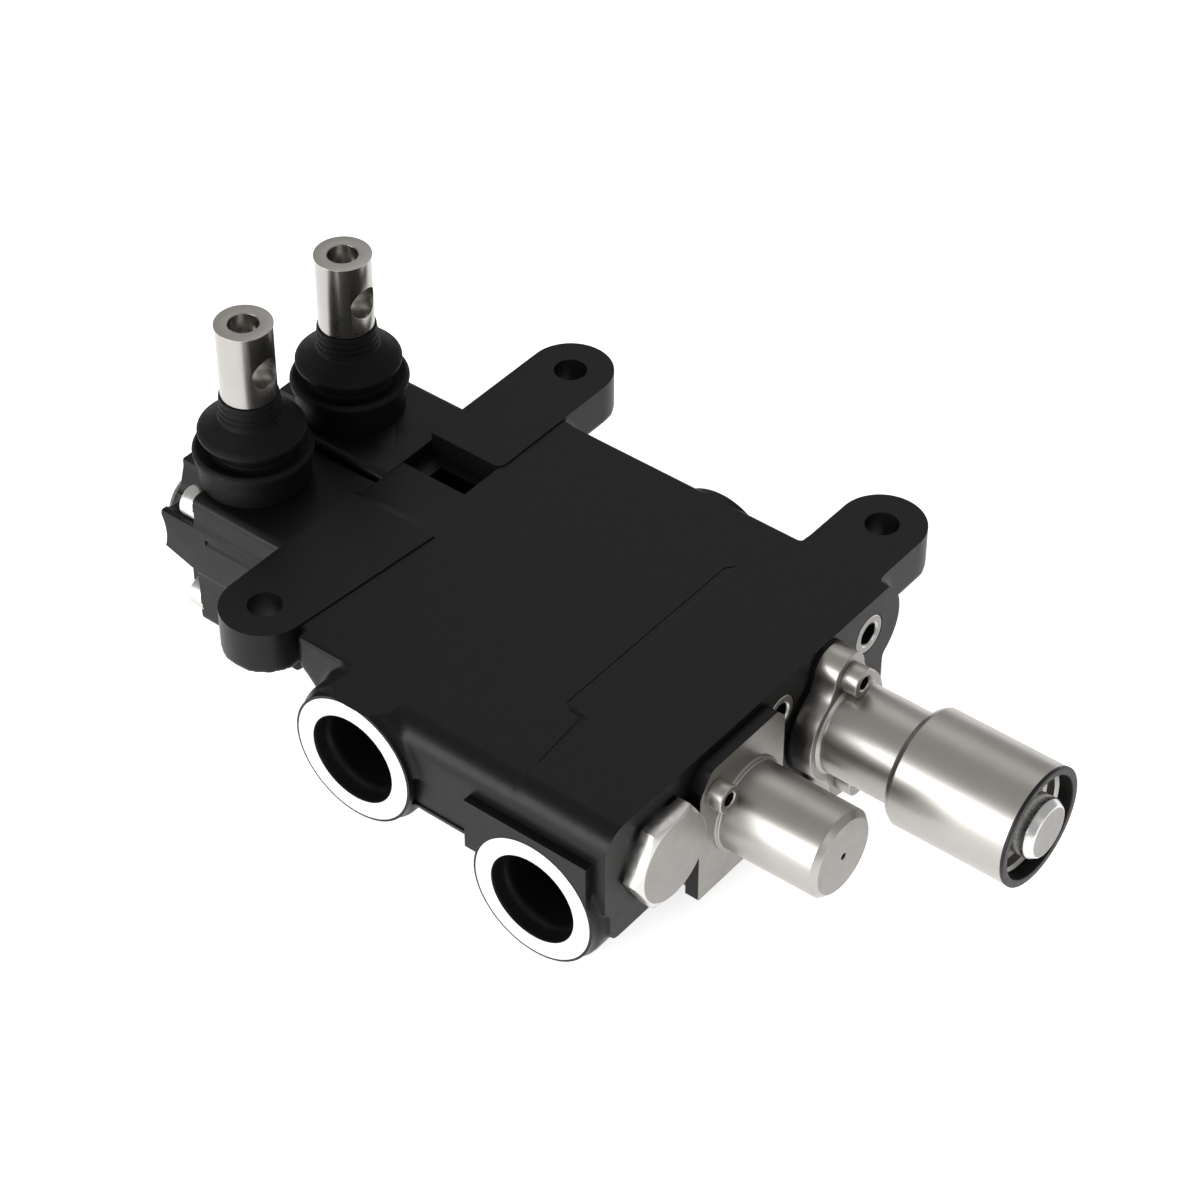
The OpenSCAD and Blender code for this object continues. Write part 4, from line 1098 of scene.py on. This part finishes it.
# Plugs
def hexagon_plug():
    """The power beyond plug: domed hexagon head over a relieved stud."""
    lo, hi = edges_of("beyond_plug")
    at = middle("beyond_plug")
    y, z, across_flats = at.y, at.z, hi.z - lo.z
    corner = across_flats / math.sqrt(3)
    turns = [math.radians(60 * k) for k in range(6)]
    head = plate([(y + corner * math.cos(t), z + corner * math.sin(t)) for t in turns],
                 "X", END_X + 0.8, hi.x)
    dome = turned(rounded([
        (END_X - 1, 0, 0), (END_X - 1, corner + 1, 0), (hi.x - 1.9, corner + 1, 0),
        (hi.x, across_flats / 2 - 0.4, 0), (hi.x, 0, 0)]), (0, y, z))
    combine(head, dome, "INTERSECT", "EXACT")
    stud = turned([(lo.x, 0), (lo.x, 12.6), (lo.x + 0.8, 13.4), (END_X - 2.5, 13.4), (END_X - 2.5, 12.05),
                   (END_X - 0.6, 12.05), (END_X, 13.6), (END_X + 1, 13.6), (END_X + 1, 0)], (0, y, z))
    return edge_broken(add(head, stud, solver="EXACT"), 0.12, 35, 2)


FLUSH_SOCKET = {"key": 6.35, "head_h": 0}  # the face is level with the body's end


def flush_plug(y):
    """A socket plug whose face is level with the body's end."""
    obj = turned(rounded([
        (END_X - 12, 0, 0), (END_X - 12, 6.3, 0), (END_X, 6.3, 0.5), (END_X, 4.2, 0.15),
        (END_X - 0.5, 3.7, 0), (END_X - 0.5, 0, 0)], 4), (0, y, PLUG_Z), "X", 64)
    hexagon = along_x(END_X - 6, END_X + 1, y, PLUG_Z, FLUSH_SOCKET["key"] / math.sqrt(3), steps=6)
    return cut(obj, hexagon, solver="EXACT")


def far_side_plug():
    """The large socket plug in the far boss."""
    lo, hi = edges_of("far_plug")
    x, z = FAR_PORT
    key = 14
    obj = turned(rounded([
        (lo.y, 0, 0), (lo.y, 13.2, 0.8), (hi.y, 13.2, 0.8), (hi.y, 8.9, 0.3), (hi.y - 0.8, 8.1, 0),
        (hi.y - 0.8, 0, 0)], 4), (x, 0, z), "Y")
    return cut(obj, rod((x, hi.y - 7, z), (x, hi.y + 1, z), key / math.sqrt(3), steps=6), solver="EXACT")


class VALVE_OT_plugs(bpy.types.Operator):
    """Makes the hexagon plug, the two flush socket plugs and the far side plug"""

    bl_idname = "valve.plugs"
    bl_label = "Plugs"

    def execute(self, context):
        # the plug's end faces take the darker steel: painted shade
        painted_end_shade(finished(hexagon_plug(), "hexagon_plug", "zinc", "beyond_plug", 25))
        flush = joined(*[flush_plug(y) for y in PLUG_YS])
        # the flush plugs' faces take the darker steel: painted shade
        painted_end_shade(finished(flush, "flush_socket_plugs", "zinc", "flush_plugs"))
        # the faces inside the sockets take the near black finish: painted shade
        inlaid(flush, "oxide", socket_faces_for_painted_shade([(y, PLUG_Z) for y in PLUG_YS], END_X, FLUSH_SOCKET))
        finished(far_side_plug(), "far_side_plug", "zinc", "far_plug")
        return {"FINISHED"}


# Parts kept from the frame
KEPT = {
    "spool_front": "spool", "spool_rear": "spool", "spool_seals": "rubber", "pivot_pins": "spool",
    "seat_in_front": "screw", "seat_in_rear": "screw", "seat_out_front": "screw", "seat_out_rear": "screw",
    "spring_front": "wire", "spring_rear": "wire", "shoulder_bolt": "screw", "detent_rod": "spool",
    "detent_ring": "steel_x", "detent_balls": "spool", "plug_seals": "rubber", "check_poppet": "spool",
    "check_spring": "wire", "relief_seat": "screw", "relief_poppet": "spool", "relief_spring": "wire",
}


class VALVE_OT_inner_parts(bpy.types.Operator):
    """Gives the inner parts kept from the frame their finishes"""

    bl_idname = "valve.inner_parts"
    bl_label = "Inner parts"

    def execute(self, context):
        for name, kind in KEPT.items():
            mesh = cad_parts[name].data
            if not mesh.materials:
                mesh.materials.append(None)
            for k in range(len(mesh.materials)):
                mesh.materials[k] = finish(kind)
        return {"FINISHED"}


# Studio
# The photograph's camera, fitted to its circles: place in metres, direction in degrees.
PHOTO_WIDTH_PX = 1200
FOCAL_PX = 3588
SENSOR_MM = 36
CAMERA_AT = (0.5480, -0.5346, 0.6777)
CAMERA_AZIMUTH, CAMERA_ELEVATION = 38.574, 41.667


def studio_floor(hexcode):
    """A pale floor just under the part, bright enough to stay white in the shade."""
    fresh()
    bpy.ops.mesh.primitive_plane_add(size=30, location=(0, 0, CAD_BOX[0].z - 0.0002))
    floor = settled()
    floor.name = "studio_floor"
    material, tree, shader, place = surface("pale_studio_floor", hexcode, 0, 0.9)
    shader.inputs["Emission Color"].default_value = (1, 1, 1, 1)
    shader.inputs["Emission Strength"].default_value = 0.75
    tinted(tree, shader, grain(tree, place, 600), "fbfbfb", "ffffff")
    floor.data.materials.append(material)


def softbox(name, at, look, size, power):
    """A rectangular area lamp at a place, turned towards another; metres and watts."""
    data = bpy.data.lights.new(name, "AREA")
    data.shape, data.size, data.size_y, data.energy = "RECTANGLE", size[0], size[1], power
    lamp = bpy.data.objects.new(name, data)
    bpy.context.scene.collection.objects.link(lamp)
    lamp.location = at
    lamp.rotation_euler = (Vector(look) - Vector(at)).to_track_quat("-Z", "Y").to_euler()


def photo_camera():
    """A camera with the photograph's place, direction and focal length."""
    data = bpy.data.cameras.new("photo_camera")
    data.sensor_width = SENSOR_MM
    data.lens = FOCAL_PX / PHOTO_WIDTH_PX * SENSOR_MM
    data.clip_start, data.clip_end = 0.05, 50
    camera = bpy.data.objects.new("photo_camera", data)
    bpy.context.scene.collection.objects.link(camera)
    az, el = math.radians(CAMERA_AZIMUTH), math.radians(CAMERA_ELEVATION)
    back = Vector((math.sin(az) * math.cos(el), -math.cos(az) * math.cos(el), math.sin(el)))
    camera.location = CAMERA_AT
    camera.rotation_mode = "QUATERNION"
    camera.rotation_quaternion = (-back).to_track_quat("-Z", "Y")
    return camera


class VALVE_OT_stage(bpy.types.Operator):
    """Sets the pale floor, the soft studio light and the camera"""

    bl_idname = "valve.stage"
    bl_label = "Studio"

    def execute(self, context):
        scene = context.scene
        studio_floor(scene.valve_colours.floor)
        scene.world = bpy.data.worlds.new("studio_world")
        scene.world.use_nodes = True
        sky = scene.world.node_tree.nodes["Background"].inputs
        sky["Color"].default_value = (1, 0.985, 0.97, 1)
        sky["Strength"].default_value = 0.46
        softbox("front_left_softbox", (-0.35, -1.3, 0.35), (0.05, 0.05, -0.02), (1.2, 0.9), 20)
        softbox("right_softbox", (1.5, -0.1, 0.5), (0.1, 0.06, -0.02), (0.5, 1.2), 1.3)
        softbox("high_softbox", (-0.5, 1.1, 1.5), (0.05, 0.06, 0), (1.0, 1.0), 1.5)
        bpy.context.scene.camera = photo_camera()
        scene.view_settings.view_transform = "Standard"
        return {"FINISHED"}


# Panel and run
STEPS = ("body", "housings", "boots", "levers", "screws", "front_cap", "rear_cap", "plugs", "inner_parts",
         "stage")


class VALVE_PT_panel(bpy.types.Panel):
    bl_label = "Hydraulic Valve"
    bl_idname = "VALVE_PT_panel"
    bl_space_type = "VIEW_3D"
    bl_region_type = "UI"
    bl_category = "Valve"

    def draw(self, context):
        layout = self.layout
        for group in (context.scene.valve_sizes, context.scene.valve_colours):
            box = layout.box()
            for key in group.__annotations__:
                box.prop(group, key)
        for step in STEPS:
            layout.operator(f"valve.{step}")


CLASSES = (ValveSizes, ValveColours, VALVE_OT_body, VALVE_OT_housings, VALVE_OT_boots, VALVE_OT_levers,
           VALVE_OT_screws, VALVE_OT_front_cap, VALVE_OT_rear_cap, VALVE_OT_plugs, VALVE_OT_inner_parts,
           VALVE_OT_stage, VALVE_PT_panel)


def register():
    for cls in CLASSES:
        bpy.utils.register_class(cls)
    bpy.types.Scene.valve_sizes = bpy.props.PointerProperty(type=ValveSizes)
    bpy.types.Scene.valve_colours = bpy.props.PointerProperty(type=ValveColours)


def unregister():
    del bpy.types.Scene.valve_colours
    del bpy.types.Scene.valve_sizes
    for cls in reversed(CLASSES):
        bpy.utils.unregister_class(cls)


def main():
    register()
    for step in STEPS:
        getattr(bpy.ops.valve, step)()
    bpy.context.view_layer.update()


if __name__ == "__main__":
    main()
